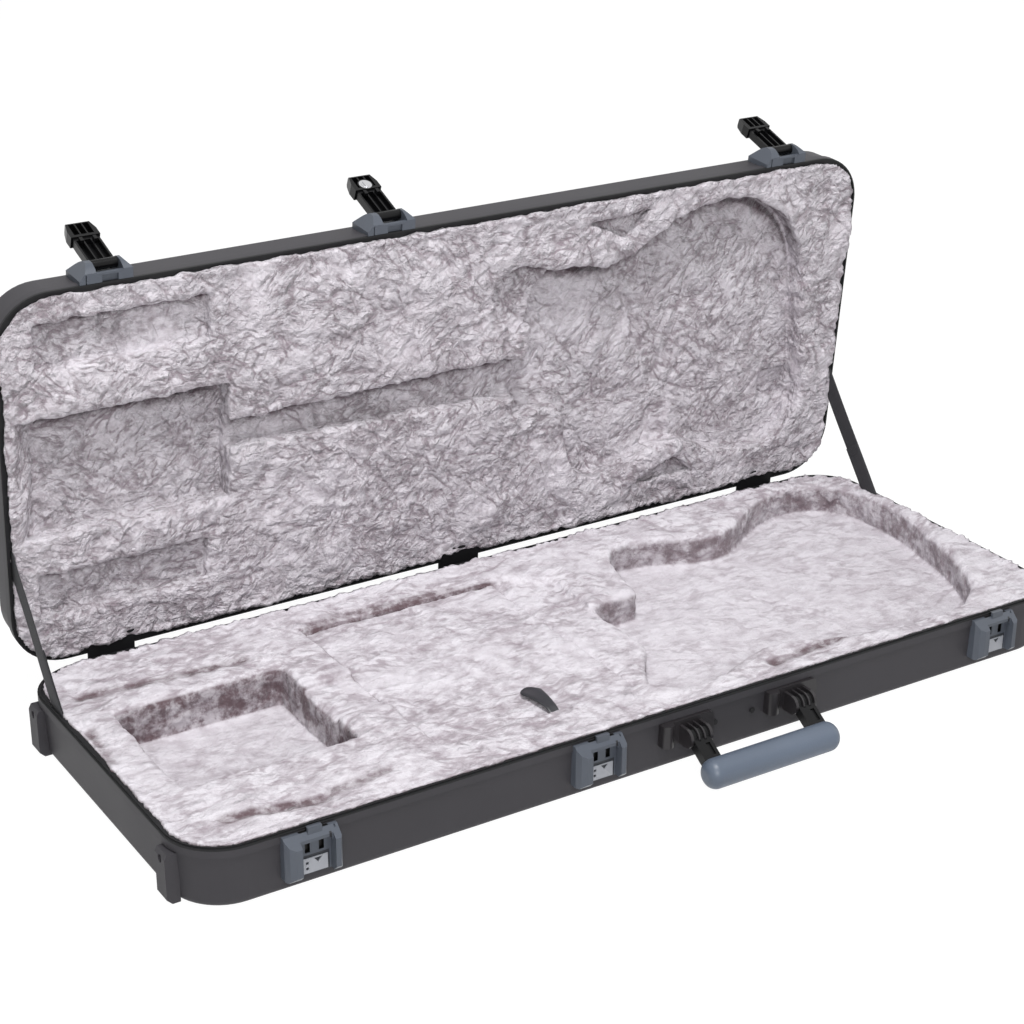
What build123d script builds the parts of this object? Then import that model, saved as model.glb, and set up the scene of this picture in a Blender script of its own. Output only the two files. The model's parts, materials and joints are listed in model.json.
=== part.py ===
from build123d import *
import os
from math import cos, radians, sin, tan

os.makedirs("parts", exist_ok=True)

# Moulded electric guitar case, shown open, in millimetres.
# +X runs to the end that holds the guitar's body, -Y is the handle side, +Z is up.
# The origin is the centre of the base's underside.
# Lid pieces are drawn with the lid closed and are swung open when they are written.

# Case shells
case_length = 1090.0
case_width = 420.0
base_height = 66.0
lid_height = 47.6
rim_gap = 0.4
corner_radius = 60.0
draft_angle = 2.5
edge_radius = 9.0
shell_wall = 3.0
lip_height = 8.0
lip_proud = 1.2
seat_gap = 0.2

# Valances, the black frames that close the two rims
valance_width = 8.5
valance_thick = 1.5
skirt_height = 6.0
skirt_thick = 1.6
tongue_height = 1.6
tongue_thick = 1.4
tongue_inset = 2.3
tongue_clearance = 0.4

# Padded liners
liner_gap = 0.3
plush_drop = 1.0
lid_plush_rise = 0.6
cavity_edge = 3.0
body_floor = 27.0
pocket_floor = 18.0
box_floor = 14.0
neck_drop = 8.0
lid_body_depth = 26.0
lid_head_depth = 28.0
lid_neck_depth = 18.0
lid_pocket_depth = 12.0
lid_pit_depth = 34.0

# Accessory compartment in the base
board_length = 242.0
board_width = 296.0
board_thick = 8.0
board_centre_x = -120.0
board_rear_y = 155.0
board_clearance = 0.5
ledge_width = 7.0
pull_tab_width = 22.0
pull_tab_length = 57.0
pull_tab_thick = 1.5
pull_tab_x = -103.0

# Hinges
lid_open_angle = 85.4
hinge_width = 54.0
hinge_spread = 0.8
hinge_standoff = 7.4
hinge_drop = 8.6
knuckle_radius = 4.2
leaf_inset = 0.5
hinge_pin_radius = 1.6
leaf_thick = 1.4
leaf_gap = 0.3
lid_leaf_reach = 16.0
centre_knuckle = 19.0
running_clearance = 0.05

# Stay straps
strap_width = 26.0
strap_thick = 1.6
strap_base_y = 122.0
strap_lid_y = 88.0
strap_buried = 16.0
strap_slot_margin = 1.5
rivet_radius = 2.0
rivet_head_radius = 4.5
rivet_head_thick = 1.2

# Latches
latch_end_left = 125.5
latch_centre_x = -95.5
latch_end_right = 109.0
lever_open_angles = {"left": 165.0, "centre": 162.0, "right": 165.0}
latch_width = 57.0
latch_shift = -4.0
bracket_proud = 18.0
bracket_height = 36.0
bracket_gap = 0.5
bracket_front_rise = 11.0
bracket_shoulder = 7.0
bracket_slope = 11.0
back_plate = 3.8
ledge_proud = 10.0
ledge_height = 4.5
slit_width = 1.4
slit_inset = 7.0
slit_depth = 2.0
lever_width = 28.0
lever_side_gap = 0.4
lever_length = 70.0
lever_pivot_proud = 12.0
lever_pivot_rise = 18.5
barrel_radius = 5.5
lever_front = 7.5
lever_back = 1.5
lever_skin = 2.2
lever_rib = 1.6
head_width = 31.5
head_length = 25.0
head_swell = 2.0
head_bar = 3.5
head_corner = 7.0
prong_reach = 38.5
prong_width = 3.6
prong_height = 6.0
prong_depth = 4.0
prong_spacing = 14.7
latch_pin_radius = 2.0
latch_pin_length = 38.0
receptacle_proud = 15.0
receptacle_height = 46.0
receptacle_drop = 2.5
receptacle_top_slope = 10.5
receptacle_round = 5.0
receptacle_cheek_round = 9.0
channel_width = 34.5
band_height = 9.0
band_proud = 9.6
slot_width = 5.4
slot_height = 12.0
notch_width = 1.6
tab_width = 15.0
tab_thick = 5.0
tab_inset = 1.2
tab_rise = 2.5
tab_clearance = 1.2
catch_width = 26.0
catch_height = 16.0
catch_thick = 1.2
catch_centre_z = 27.0
catch_window = 3.0

# Key lock in the centre lever
lock_reach = 53.0
lock_radius = 7.2
plug_radius = 4.6
lock_bezel_radius = 8.6
lock_bezel_thick = 1.2
cam_length = 11.0
cam_thick = 1.0
keyway_width = 1.6
keyway_depth = 4.0

# Carrying handle
handle_centre_x = 82.5
arm_spacing = 136.0
handle_pivot_proud = 15.0
handle_pivot_z = 40.5
arm_length = 46.0
arm_drop_angle = 32.5
arm_width = 20.0
arm_side_gap = 0.4
arm_barrel_radius = 8.5
arm_root = 35.0
arm_thick = 11.0
arm_tang = 12.0
tang_radius = 4.5
arm_groove_width = 5.0
arm_groove_depth = 2.0
hub_radius = 5.0
grip_radius = 16.0
grip_end = 16.5
grip_end_round = 12.0
lug_radius = 10.5
lug_thick = 3.4
fin_thick = 1.8
fin_offset = 3.6
handle_plate_left = 36.0
handle_plate_right = 30.5
handle_plate_thick = 3.8
handle_plate_bottom = 30.5
handle_plate_top = 56.0
handle_plate_corner = 7.0
column_radius = 7.0
handle_pin_radius = 2.0
handle_pin_grip = 2.4
handle_stop_radius = 3.0
handle_stop_thick = 1.5
handle_stop_places = ((-32.0, 37.5), (16.5, 37.5))

# End ribs that the case stands on when it is upright
foot_y = 160.0
foot_width = 22.0
foot_proud = 7.0
foot_height = 55.0
foot_base = 1.5
foot_bevel = 5.5
foot_bore = 4.0
foot_bore_depth = 4.0
foot_bore_drop = 8.0

# Places worked out from the sizes above
case_half_length = case_length / 2
case_half_width = case_width / 2
shell_length = case_length - 2 * lip_proud
shell_width = case_width - 2 * lip_proud
shell_radius = corner_radius - lip_proud
base_rim_z = base_height - valance_thick
lid_seam_z = base_height + rim_gap
lid_flange_z = lid_seam_z + tongue_height
lid_rim_z = lid_flange_z + valance_thick
crown_z = lid_seam_z + lid_height
plush_z = base_height - plush_drop
lid_plush_z = lid_seam_z + lid_plush_rise
neck_z = plush_z - neck_drop
hinge_y = case_half_width + hinge_standoff
hinge_z = base_height - hinge_drop
hinge_spacing = hinge_spread * case_half_length
hinge_places = {"left": -hinge_spacing, "centre": 0.0, "right": hinge_spacing}
latch_places = {
    "left": latch_end_left - case_half_length,
    "centre": latch_centre_x,
    "right": case_half_length - latch_end_right,
}
hinge_line = Axis((0, hinge_y, hinge_z), (1, 0, 0))
wall_inset = lip_proud + shell_wall
liner_inset = valance_width + liner_gap
draft_slope = tan(radians(draft_angle))

# Closed outlines of the guitar's body in the base and in the lid.
# The first and last points of each run are joined by straight lines at the neck.
base_body_run = (
    (124, 42), (140, 105), (167, 154), (231, 146), (300, 124), (383, 168), (442, 187),
    (503, 170), (530, 105), (514, -22), (470, -135), (420, -176), (365, -183), (279, -172),
    (204, -147), (130, -155), (45, -173), (20, -155), (36, -100), (64, -60),
)
lid_body_run = (
    (124, 42), (138, 75), (147, 120), (175, 146), (240, 140), (300, 126), (360, 150), (420, 161),
    (468, 150), (494, 105), (488, 40), (480, -35), (470, -98), (452, -134), (414, -166),
    (375, -180), (338, -182), (296, -174), (262, -158), (229, -138), (188, -126), (150, -131),
    (115, -136), (92, -112), (80, -60),
)
lid_horn_ledge = ((27, -112), (33, -130), (49, -141), (71, -146), (115, -134), (95, -80), (62, -60),
                  (38, -84))
neck_rest_start = 1.0
neck_joint_x = 64.0
neck_rest_y = (-165.0, 120.0)
head_pocket_x = (-495.0, -300.0)
head_pocket_y = (-85.0, 90.0)
neck_pass_half = 40.0
lid_front_pocket = (-505.0, -310.0, -179.0, -125.0)
lid_head_pocket = (-505.0, -290.0, -76.0, 64.0)
lid_rear_pocket = (-515.0, -318.0, 102.0, 155.0)
lid_neck_outline = ((-291, -31), (124, -36), (124, 42), (66, 18), (-291, 4))
lid_head_ramp = 26.0
lid_horn_notch = ((147, -181), (247, -187), (210, -150))
lid_waist_notch = ((234, 172), (303, 141), (342, 172))
lid_pit_centre = (468.0, 88.0)
lid_pit_size = 44.0


def base_wall(z):
    """Half width of the base shell's outside at height z."""
    return shell_width / 2 - (base_rim_z - z) * draft_slope


def lid_wall(z):
    """Half width of the closed lid shell's outside at height z."""
    return shell_width / 2 - (z - lid_rim_z) * draft_slope


def drafted_block(rim_z, depth, inset, radius):
    """A rounded block that narrows from the rim plane, with a rounded far edge."""
    with BuildPart() as block:
        with BuildSketch(Plane.XY.offset(rim_z)):
            RectangleRounded(shell_length - 2 * inset, shell_width - 2 * inset, shell_radius - inset)
        extrude(amount=depth, taper=draft_angle)
        far_edges = block.edges().group_by(Axis.Z)[0 if depth < 0 else -1]
        fillet(far_edges, radius)
    return block.part


def rim_ring(bottom_z, height, outer_inset, inner_inset):
    """A flat ring that follows the case outline between two insets from its edge."""
    with BuildPart() as ring:
        with BuildSketch(Plane.XY.offset(bottom_z)):
            RectangleRounded(case_length - 2 * outer_inset, case_width - 2 * outer_inset,
                             corner_radius - outer_inset)
            RectangleRounded(case_length - 2 * inner_inset, case_width - 2 * inner_inset,
                             corner_radius - inner_inset, mode=Mode.SUBTRACT)
        extrude(amount=height)
    return ring.part


def write(piece, name, swung=False):
    """Label a finished piece and write it, swung open first when it belongs to the lid."""
    placed = piece.rotate(hinge_line, -lid_open_angle) if swung else piece
    placed.label = name
    export_step(placed, f"parts/{name}.step")


# Stay strap line: straight from the base exit to the open lid exit
strap_ends = {"left": -1, "right": 1}
strap_draft_room = (strap_buried + strap_width / 2) * draft_slope
strap_x = case_half_length - wall_inset - liner_gap - strap_draft_room - strap_thick / 2
open_turn = radians(lid_open_angle)
strap_lid_open_y = (hinge_y + (strap_lid_y - hinge_y) * cos(open_turn)
                    + (lid_seam_z - hinge_z) * sin(open_turn))
strap_lid_open_z = (hinge_z - (strap_lid_y - hinge_y) * sin(open_turn)
                    + (lid_seam_z - hinge_z) * cos(open_turn))
strap_base_end = Vector(0, strap_base_y, base_height)
strap_lid_end = Vector(0, strap_lid_open_y, strap_lid_open_z)
strap_way = (strap_lid_end - strap_base_end).normalized()
strap_span = (strap_lid_end - strap_base_end).length
strap_middle = (strap_base_end + strap_lid_end) * 0.5
rivet_shift = strap_span / 2 + strap_buried - rivet_head_radius - 1.5


def strap_plane(sign):
    """Plane of one strap: local x runs up the strap, the normal is +X."""
    return Plane(
        origin=(sign * strap_x, strap_middle.Y, strap_middle.Z),
        x_dir=(0, strap_way.Y, strap_way.Z),
        z_dir=(1, 0, 0),
    )


def strap_room():
    """Slanted slots, wider than the straps, cut where the straps enter the two halves."""
    room_thick = 2 * (strap_thick / 2 + liner_gap + rivet_head_thick + liner_gap)
    with BuildPart() as room:
        for sign in strap_ends.values():
            with BuildSketch(strap_plane(sign)):
                Rectangle(strap_span + 2 * strap_buried + 2 * strap_slot_margin,
                          strap_width + 2 * strap_slot_margin)
            extrude(amount=room_thick / 2, both=True)
    return room.part


# Base shell with its lip band, the end ribs and the bores in them
with BuildPart() as base_shell:
    add(drafted_block(base_rim_z, -base_rim_z, 0, edge_radius))
    add(rim_ring(base_rim_z - lip_height, lip_height, 0, wall_inset - shell_wall / 2))
    foot_profile_x = case_half_length - foot_proud
    foot_face_x = case_half_length + foot_proud
    for side in (-1, 1):
        with BuildSketch(Plane.XZ) as foot_profile:
            with BuildLine():
                Polyline(
                    (side * foot_profile_x, foot_base),
                    (side * (foot_face_x - foot_bevel), foot_base),
                    (side * foot_face_x, foot_base + foot_bevel),
                    (side * foot_face_x, foot_height - foot_bevel),
                    (side * (foot_face_x - foot_bevel / 2), foot_height),
                    (side * foot_profile_x, foot_height),
                    close=True,
                )
            make_face()
        extrude(foot_profile.sketch.moved(Location((0, foot_y, 0))), amount=foot_width / 2, both=True)
        extrude(foot_profile.sketch.moved(Location((0, -foot_y, 0))), amount=foot_width / 2, both=True)
    add(drafted_block(base_rim_z, shell_wall - base_rim_z, shell_wall, edge_radius - shell_wall),
        mode=Mode.SUBTRACT)
    for side in (-1, 1):
        for foot_side in (-1, 1):
            bore_z = foot_height - foot_bore_drop
            with Locations(Location((side * foot_face_x, foot_side * foot_y, bore_z), (0, 90, 0))):
                Cylinder(foot_bore, 2 * foot_bore_depth, mode=Mode.SUBTRACT)
write(base_shell.part, "base_shell")

# Base valance: flange, skirt inside the wall and tongue on top
with BuildPart() as base_valance:
    add(rim_ring(base_rim_z, valance_thick, 0, valance_width))
    add(rim_ring(base_rim_z - skirt_height, skirt_height, wall_inset + liner_gap,
                 wall_inset + liner_gap + skirt_thick))
    add(rim_ring(base_height, tongue_height, tongue_inset, tongue_inset + tongue_thick))
    with Locations(*[(x, case_half_width, base_height) for x in hinge_places.values()]):
        Box(hinge_width + 2 * leaf_gap, 2 * (valance_width - leaf_inset), 2 * skirt_height,
            mode=Mode.SUBTRACT)
    add(strap_room(), mode=Mode.SUBTRACT)
write(base_valance.part, "base_valance")

# Base liner: padded block with the guitar's cavities
with BuildPart() as base_liner:
    add(drafted_block(plush_z, shell_wall - plush_z, shell_wall + liner_gap, edge_radius - shell_wall))
    add(rim_ring(base_rim_z - skirt_height - liner_gap, base_height, -case_width, liner_inset),
        mode=Mode.SUBTRACT)
    with BuildSketch(Plane.XY.offset(plush_z)):
        with BuildLine():
            Spline(*base_body_run)
            Polyline(base_body_run[-1], (neck_joint_x, base_body_run[0][1]), base_body_run[0])
        make_face()
    extrude(amount=body_floor - plush_z, mode=Mode.SUBTRACT)
    with BuildSketch(Plane.XY.offset(plush_z)):
        with Locations(((head_pocket_x[0] + head_pocket_x[1]) / 2,
                        (head_pocket_y[0] + head_pocket_y[1]) / 2)):
            RectangleRounded(head_pocket_x[1] - head_pocket_x[0],
                             head_pocket_y[1] - head_pocket_y[0], 2 * cavity_edge)
    extrude(amount=pocket_floor - plush_z, mode=Mode.SUBTRACT)
    board_x0 = board_centre_x - board_length / 2 - board_clearance
    board_y0 = board_rear_y - board_width - board_clearance
    board_y1 = board_rear_y + board_clearance
    with BuildSketch(Plane.XY.offset(plush_z)):
        with BuildLine():
            Polyline(
                (board_x0, board_y0),
                (neck_rest_start, board_y0),
                (neck_joint_x, neck_rest_y[0]),
                (neck_joint_x, neck_rest_y[1]),
                (neck_rest_start, board_y1),
                (board_x0, board_y1),
                close=True,
            )
        make_face()
        with Locations(((head_pocket_x[1] + board_x0) / 2, 0)):
            Rectangle(board_x0 - head_pocket_x[1] + 2, 2 * neck_pass_half)
    extrude(amount=-neck_drop, mode=Mode.SUBTRACT)
    with BuildSketch(Plane.XY.offset(neck_z)):
        with Locations((board_centre_x, board_rear_y - board_width / 2)):
            Rectangle(board_length + 2 * board_clearance, board_width + 2 * board_clearance)
    extrude(amount=-board_thick, mode=Mode.SUBTRACT)
    with BuildSketch(Plane.XY.offset(neck_z - board_thick)):
        with Locations((board_centre_x, board_rear_y - board_width / 2)):
            RectangleRounded(board_length - 2 * ledge_width, board_width - 2 * ledge_width,
                             2 * cavity_edge)
    extrude(amount=box_floor + board_thick - neck_z, mode=Mode.SUBTRACT)
    add(strap_room(), mode=Mode.SUBTRACT)
write(base_liner.part, "base_liner")

# Padded board that closes the accessory compartment, with its pull tab
board_centre_y = board_rear_y - board_width / 2
with BuildPart() as compartment_lid:
    with BuildSketch(Plane.XY.offset(neck_z - board_thick)):
        with Locations((board_centre_x, board_centre_y)):
            RectangleRounded(board_length, board_width, cavity_edge)
    extrude(amount=board_thick)
    fillet(compartment_lid.edges().group_by(Axis.Z)[-1], cavity_edge / 2)
write(compartment_lid.part, "compartment_lid")

with BuildPart() as pull_tab:
    with BuildSketch(Plane.XY.offset(neck_z)):
        with Locations((pull_tab_x, board_rear_y - board_width + pull_tab_length / 2 + 1)):
            SlotOverall(pull_tab_length, pull_tab_width, rotation=90)
    extrude(amount=pull_tab_thick)
write(pull_tab.part, "pull_tab")

# Lid shell, valance and liner
with BuildPart() as lid_shell:
    add(drafted_block(lid_rim_z, crown_z - lid_rim_z, 0, edge_radius))
    add(rim_ring(lid_rim_z, lip_height, 0, wall_inset - shell_wall / 2))
    add(drafted_block(lid_rim_z, crown_z - shell_wall - lid_rim_z, shell_wall,
                      edge_radius - shell_wall), mode=Mode.SUBTRACT)
write(lid_shell.part, "lid_shell", swung=True)

with BuildPart() as lid_valance:
    add(rim_ring(lid_flange_z, valance_thick, 0, valance_width))
    add(rim_ring(lid_seam_z, tongue_height, 0, tongue_inset - tongue_clearance))
    add(rim_ring(lid_rim_z, skirt_height, wall_inset + liner_gap,
                 wall_inset + liner_gap + skirt_thick))
    with Locations(*[(x, case_half_width, lid_seam_z) for x in hinge_places.values()]):
        Box(hinge_width + 2 * leaf_gap, 2 * (valance_width - leaf_inset), 2 * tongue_height,
            mode=Mode.SUBTRACT)
    add(strap_room().rotate(hinge_line, lid_open_angle), mode=Mode.SUBTRACT)
write(lid_valance.part, "lid_valance", swung=True)


def lid_recess(outline, depth):
    """Cut a straight-sided recess into the lid liner from its plush face."""
    with BuildPart() as recess:
        with BuildSketch(Plane.XY.offset(lid_plush_z)):
            with BuildLine():
                Polyline(*outline, close=True)
            make_face()
        extrude(amount=depth)
    return recess.part


def pocket_corners(x0, x1, y0, y1):
    """Corner points of a rectangular pocket."""
    return ((x0, y0), (x1, y0), (x1, y1), (x0, y1))


with BuildPart() as lid_liner:
    add(drafted_block(lid_plush_z, crown_z - shell_wall - lid_plush_z, shell_wall + liner_gap,
                      edge_radius - shell_wall))
    add(rim_ring(lid_rim_z + skirt_height + liner_gap - base_height, base_height, -case_width,
                 liner_inset), mode=Mode.SUBTRACT)
    with BuildSketch(Plane.XY.offset(lid_plush_z)):
        with BuildLine():
            Spline(*lid_body_run)
            Polyline(lid_body_run[-1], (neck_joint_x, lid_body_run[0][1]), lid_body_run[0])
        make_face()
    extrude(amount=lid_body_depth, mode=Mode.SUBTRACT)
    add(lid_recess(pocket_corners(*lid_front_pocket), lid_pocket_depth), mode=Mode.SUBTRACT)
    add(lid_recess(pocket_corners(*lid_rear_pocket), lid_pocket_depth), mode=Mode.SUBTRACT)
    add(lid_recess(pocket_corners(*lid_head_pocket), lid_head_depth), mode=Mode.SUBTRACT)
    add(lid_recess(lid_neck_outline, lid_neck_depth), mode=Mode.SUBTRACT)
    add(lid_recess(lid_horn_notch, lid_pocket_depth), mode=Mode.SUBTRACT)
    add(lid_recess(lid_waist_notch, lid_pocket_depth), mode=Mode.SUBTRACT)
    add(lid_recess(lid_horn_ledge, lid_pocket_depth), mode=Mode.SUBTRACT)
    with BuildSketch(Plane.XZ.offset(-lid_head_pocket[3])):
        with BuildLine():
            Polyline(
                (lid_head_pocket[0] - lid_head_ramp, lid_plush_z),
                (lid_head_pocket[0], lid_plush_z + lid_head_depth),
                (lid_head_pocket[1], lid_plush_z + lid_head_depth),
                (lid_head_pocket[1], lid_plush_z),
                close=True,
            )
        make_face()
    extrude(amount=lid_head_pocket[3] - lid_head_pocket[2], mode=Mode.SUBTRACT)
    with BuildSketch(Plane.XY.offset(lid_plush_z)):
        with Locations(lid_pit_centre):
            RectangleRounded(lid_pit_size, lid_pit_size, 2 * cavity_edge)
    extrude(amount=lid_pit_depth, mode=Mode.SUBTRACT)
    with Locations(*[(x, case_half_width, lid_seam_z) for x in hinge_places.values()]):
        Box(hinge_width + 2 * leaf_gap, 2 * (lid_leaf_reach + leaf_gap),
            2 * (leaf_thick + leaf_gap), mode=Mode.SUBTRACT)
    add(strap_room().rotate(hinge_line, lid_open_angle), mode=Mode.SUBTRACT)
write(lid_liner.part, "lid_liner", swung=True)


def knuckles(x, spans):
    """Hinge barrels about the hinge line, one for each span of x from the hinge's middle."""
    with BuildPart() as barrels:
        for start, end in spans:
            with Locations(Location((x + (start + end) / 2, hinge_y, hinge_z), (0, 90, 0))):
                Cylinder(knuckle_radius, end - start)
    return barrels.part


# Hinges: the base leaf carries two outer knuckles, the lid leaf the middle one
half_hinge = hinge_width / 2
outer_spans = ((-half_hinge, -centre_knuckle / 2 - leaf_gap), (centre_knuckle / 2 + leaf_gap, half_hinge))
middle_span = ((-centre_knuckle / 2, centre_knuckle / 2),)
base_leaf_y = case_half_width + leaf_gap
base_leaf_start = case_half_width - valance_width + leaf_gap + leaf_inset
for side, x in hinge_places.items():
    with BuildPart() as base_leaf:
        with BuildSketch(Plane.YZ.offset(x)):
            with BuildLine():
                Polyline(
                    (base_leaf_start, base_height - leaf_thick),
                    (base_leaf_y, base_height - leaf_thick),
                    (base_leaf_y, hinge_z - leaf_thick),
                    (hinge_y, hinge_z - leaf_thick),
                    (hinge_y, hinge_z),
                    (base_leaf_y + leaf_thick, hinge_z),
                    (base_leaf_y + leaf_thick, base_height),
                    (base_leaf_start, base_height),
                    close=True,
                )
            make_face()
        extrude(amount=half_hinge, both=True)
        with Locations(Location((x, hinge_y, hinge_z), (0, 90, 0))):
            Cylinder(knuckle_radius + leaf_gap, centre_knuckle + 2 * leaf_gap, mode=Mode.SUBTRACT)
        add(knuckles(x, outer_spans))
        with Locations(Location((x, hinge_y, hinge_z), (0, 90, 0))):
            Cylinder(hinge_pin_radius + running_clearance, 2 * hinge_width, mode=Mode.SUBTRACT)
    write(base_leaf.part, f"hinge_base_leaf_{side}")

    with BuildPart() as lid_leaf:
        with BuildSketch(Plane.YZ.offset(x)):
            with BuildLine():
                Polyline(
                    (case_half_width - lid_leaf_reach, lid_seam_z),
                    (hinge_y - leaf_thick / 2, lid_seam_z),
                    (hinge_y - leaf_thick / 2, hinge_z),
                    (hinge_y + leaf_thick / 2, hinge_z),
                    (hinge_y + leaf_thick / 2, lid_seam_z + leaf_thick),
                    (case_half_width - lid_leaf_reach, lid_seam_z + leaf_thick),
                    close=True,
                )
            make_face()
        extrude(amount=half_hinge, both=True)
        for start, end in outer_spans:
            knuckle_middle = x + (start + end) / 2
            with Locations(Location((knuckle_middle, hinge_y, hinge_z), (0, 90, 0))):
                Cylinder(knuckle_radius + leaf_gap, end - start + 2 * leaf_gap, mode=Mode.SUBTRACT)
        add(knuckles(x, middle_span))
        with Locations(Location((x, hinge_y, hinge_z), (0, 90, 0))):
            Cylinder(hinge_pin_radius + running_clearance, 2 * hinge_width, mode=Mode.SUBTRACT)
    write(lid_leaf.part, f"hinge_lid_leaf_{side}", swung=True)

    with BuildPart() as hinge_pin:
        with Locations(Location((x, hinge_y, hinge_z), (0, 90, 0))):
            Cylinder(hinge_pin_radius, hinge_width)
    write(hinge_pin.part, f"hinge_pin_{side}")

# Stay straps, straight between the rims while the lid is open, and their rivets
for side, sign in strap_ends.items():
    with BuildPart() as strap:
        with BuildSketch(strap_plane(sign)):
            Rectangle(strap_span + 2 * strap_buried, strap_width)
            with Locations((-rivet_shift, 0), (rivet_shift, 0)):
                Circle(rivet_radius + running_clearance, mode=Mode.SUBTRACT)
        extrude(amount=strap_thick / 2, both=True)
    write(strap.part, f"strap_{side}")


def strap_rivets(end):
    """A shank from the wall through each strap, with a head on the strap's inner face."""
    shank = strap_thick + liner_gap + strap_draft_room / 2
    with BuildPart() as rivets:
        for sign in strap_ends.values():
            inner_face = strap_plane(sign).offset(-sign * (strap_thick + liner_gap) / 2)
            with BuildSketch(inner_face):
                with Locations((end * rivet_shift, 0)):
                    Circle(rivet_radius)
            extrude(amount=sign * shank)
            with BuildSketch(inner_face):
                with Locations((end * rivet_shift, 0)):
                    Circle(rivet_head_radius)
            extrude(amount=-sign * rivet_head_thick)
    return rivets.part


write(strap_rivets(-1), "strap_rivets_base")
write(strap_rivets(1), "strap_rivets_lid")

# Latch places shared by the lid's bracket, the lever and the base's receptacle
lever_pivot_y = -(case_half_width + lever_pivot_proud)
lever_pivot_z = lid_seam_z + lever_pivot_rise
lever_slot = lever_width + 2 * lever_side_gap
back_plate_y = -(case_half_width + seat_gap + back_plate)
bracket_front_y = -(case_half_width + bracket_proud)
bracket_bottom_z = lid_seam_z + bracket_gap
bracket_top_z = bracket_bottom_z + bracket_height
lid_lip_z = lid_rim_z + lip_height + seat_gap
base_lip_z = base_rim_z - lip_height - seat_gap
tab_y = -(case_half_width + seat_gap + tab_inset + tab_thick / 2)
tab_top_z = base_height + tab_rise


def latch_bracket(x):
    """Lid housing: two arched cheeks for the lever, a ledge and the hole for the tab."""
    middle_x = x + latch_shift
    ledge_y = -(case_half_width + ledge_proud)
    with BuildPart() as bracket:
        with BuildSketch(Plane.YZ.offset(middle_x)):
            with BuildLine():
                Polyline(
                    (back_plate_y, bracket_top_z),
                    (-lid_wall(bracket_top_z) - seat_gap, bracket_top_z),
                    (-lid_wall(lid_lip_z) - seat_gap, lid_lip_z),
                    (-case_half_width - seat_gap, lid_lip_z),
                    (-case_half_width - seat_gap, bracket_bottom_z),
                    (-case_half_width - bracket_front_rise, bracket_bottom_z),
                )
                Spline((-case_half_width - bracket_front_rise, bracket_bottom_z),
                       (bracket_front_y, lever_pivot_z),
                       (back_plate_y, bracket_top_z),
                       tangents=((-1, 1), (1, 1)))
            make_face()
        extrude(amount=latch_width / 2, both=True)
        with BuildSketch(Plane.XY.offset(bracket_bottom_z)):
            with BuildLine():
                Polyline(
                    (middle_x - latch_width / 2, -case_half_width + bracket_proud),
                    (middle_x - latch_width / 2, back_plate_y),
                    (middle_x - latch_width / 2 + bracket_slope, bracket_front_y),
                    (middle_x + latch_width / 2 - bracket_shoulder, bracket_front_y),
                    (middle_x + latch_width / 2, -case_half_width - bracket_front_rise),
                    (middle_x + latch_width / 2, -case_half_width + bracket_proud),
                    close=True,
                )
            make_face()
        extrude(amount=bracket_height, mode=Mode.INTERSECT)
        middle_z = (bracket_bottom_z + bracket_top_z) / 2
        with Locations((x, ledge_y - bracket_proud / 2, middle_z)):
            Box(lever_slot, bracket_proud, 2 * bracket_height, mode=Mode.SUBTRACT)
        slot_z = bracket_bottom_z + ledge_height
        with Locations((x, back_plate_y - bracket_proud / 2, slot_z + bracket_height / 2)):
            Box(lever_slot, bracket_proud, bracket_height, mode=Mode.SUBTRACT)
        with Locations((x, tab_y, bracket_bottom_z)):
            Box(tab_width + 2 * tab_clearance, tab_thick + 2 * tab_clearance,
                2 * (tab_top_z - bracket_bottom_z + tab_clearance), mode=Mode.SUBTRACT)
        with Locations((middle_x - latch_width / 2 + slit_inset, back_plate_y, bracket_bottom_z)):
            Box(slit_width, bracket_front_rise, 2 * slit_depth, mode=Mode.SUBTRACT)
        with Locations(Location((x, lever_pivot_y, lever_pivot_z), (0, 90, 0))):
            Cylinder(latch_pin_radius + running_clearance, latch_pin_length + 2 * lever_side_gap,
                     mode=Mode.SUBTRACT)
    return bracket.part


def lever_pockets(x, inner_y, depth, top_z, bottom_z, width):
    """Three pockets side by side, cut from the lever's inner side with ribs between them."""
    pitch = (width - 2 * lever_skin + lever_rib) / 3
    with BuildPart() as pockets:
        for column in (-1, 0, 1):
            with Locations((x + column * pitch, inner_y - depth / 2, (top_z + bottom_z) / 2)):
                Box(pitch - lever_rib, depth, top_z - bottom_z)
    return pockets.part


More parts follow.
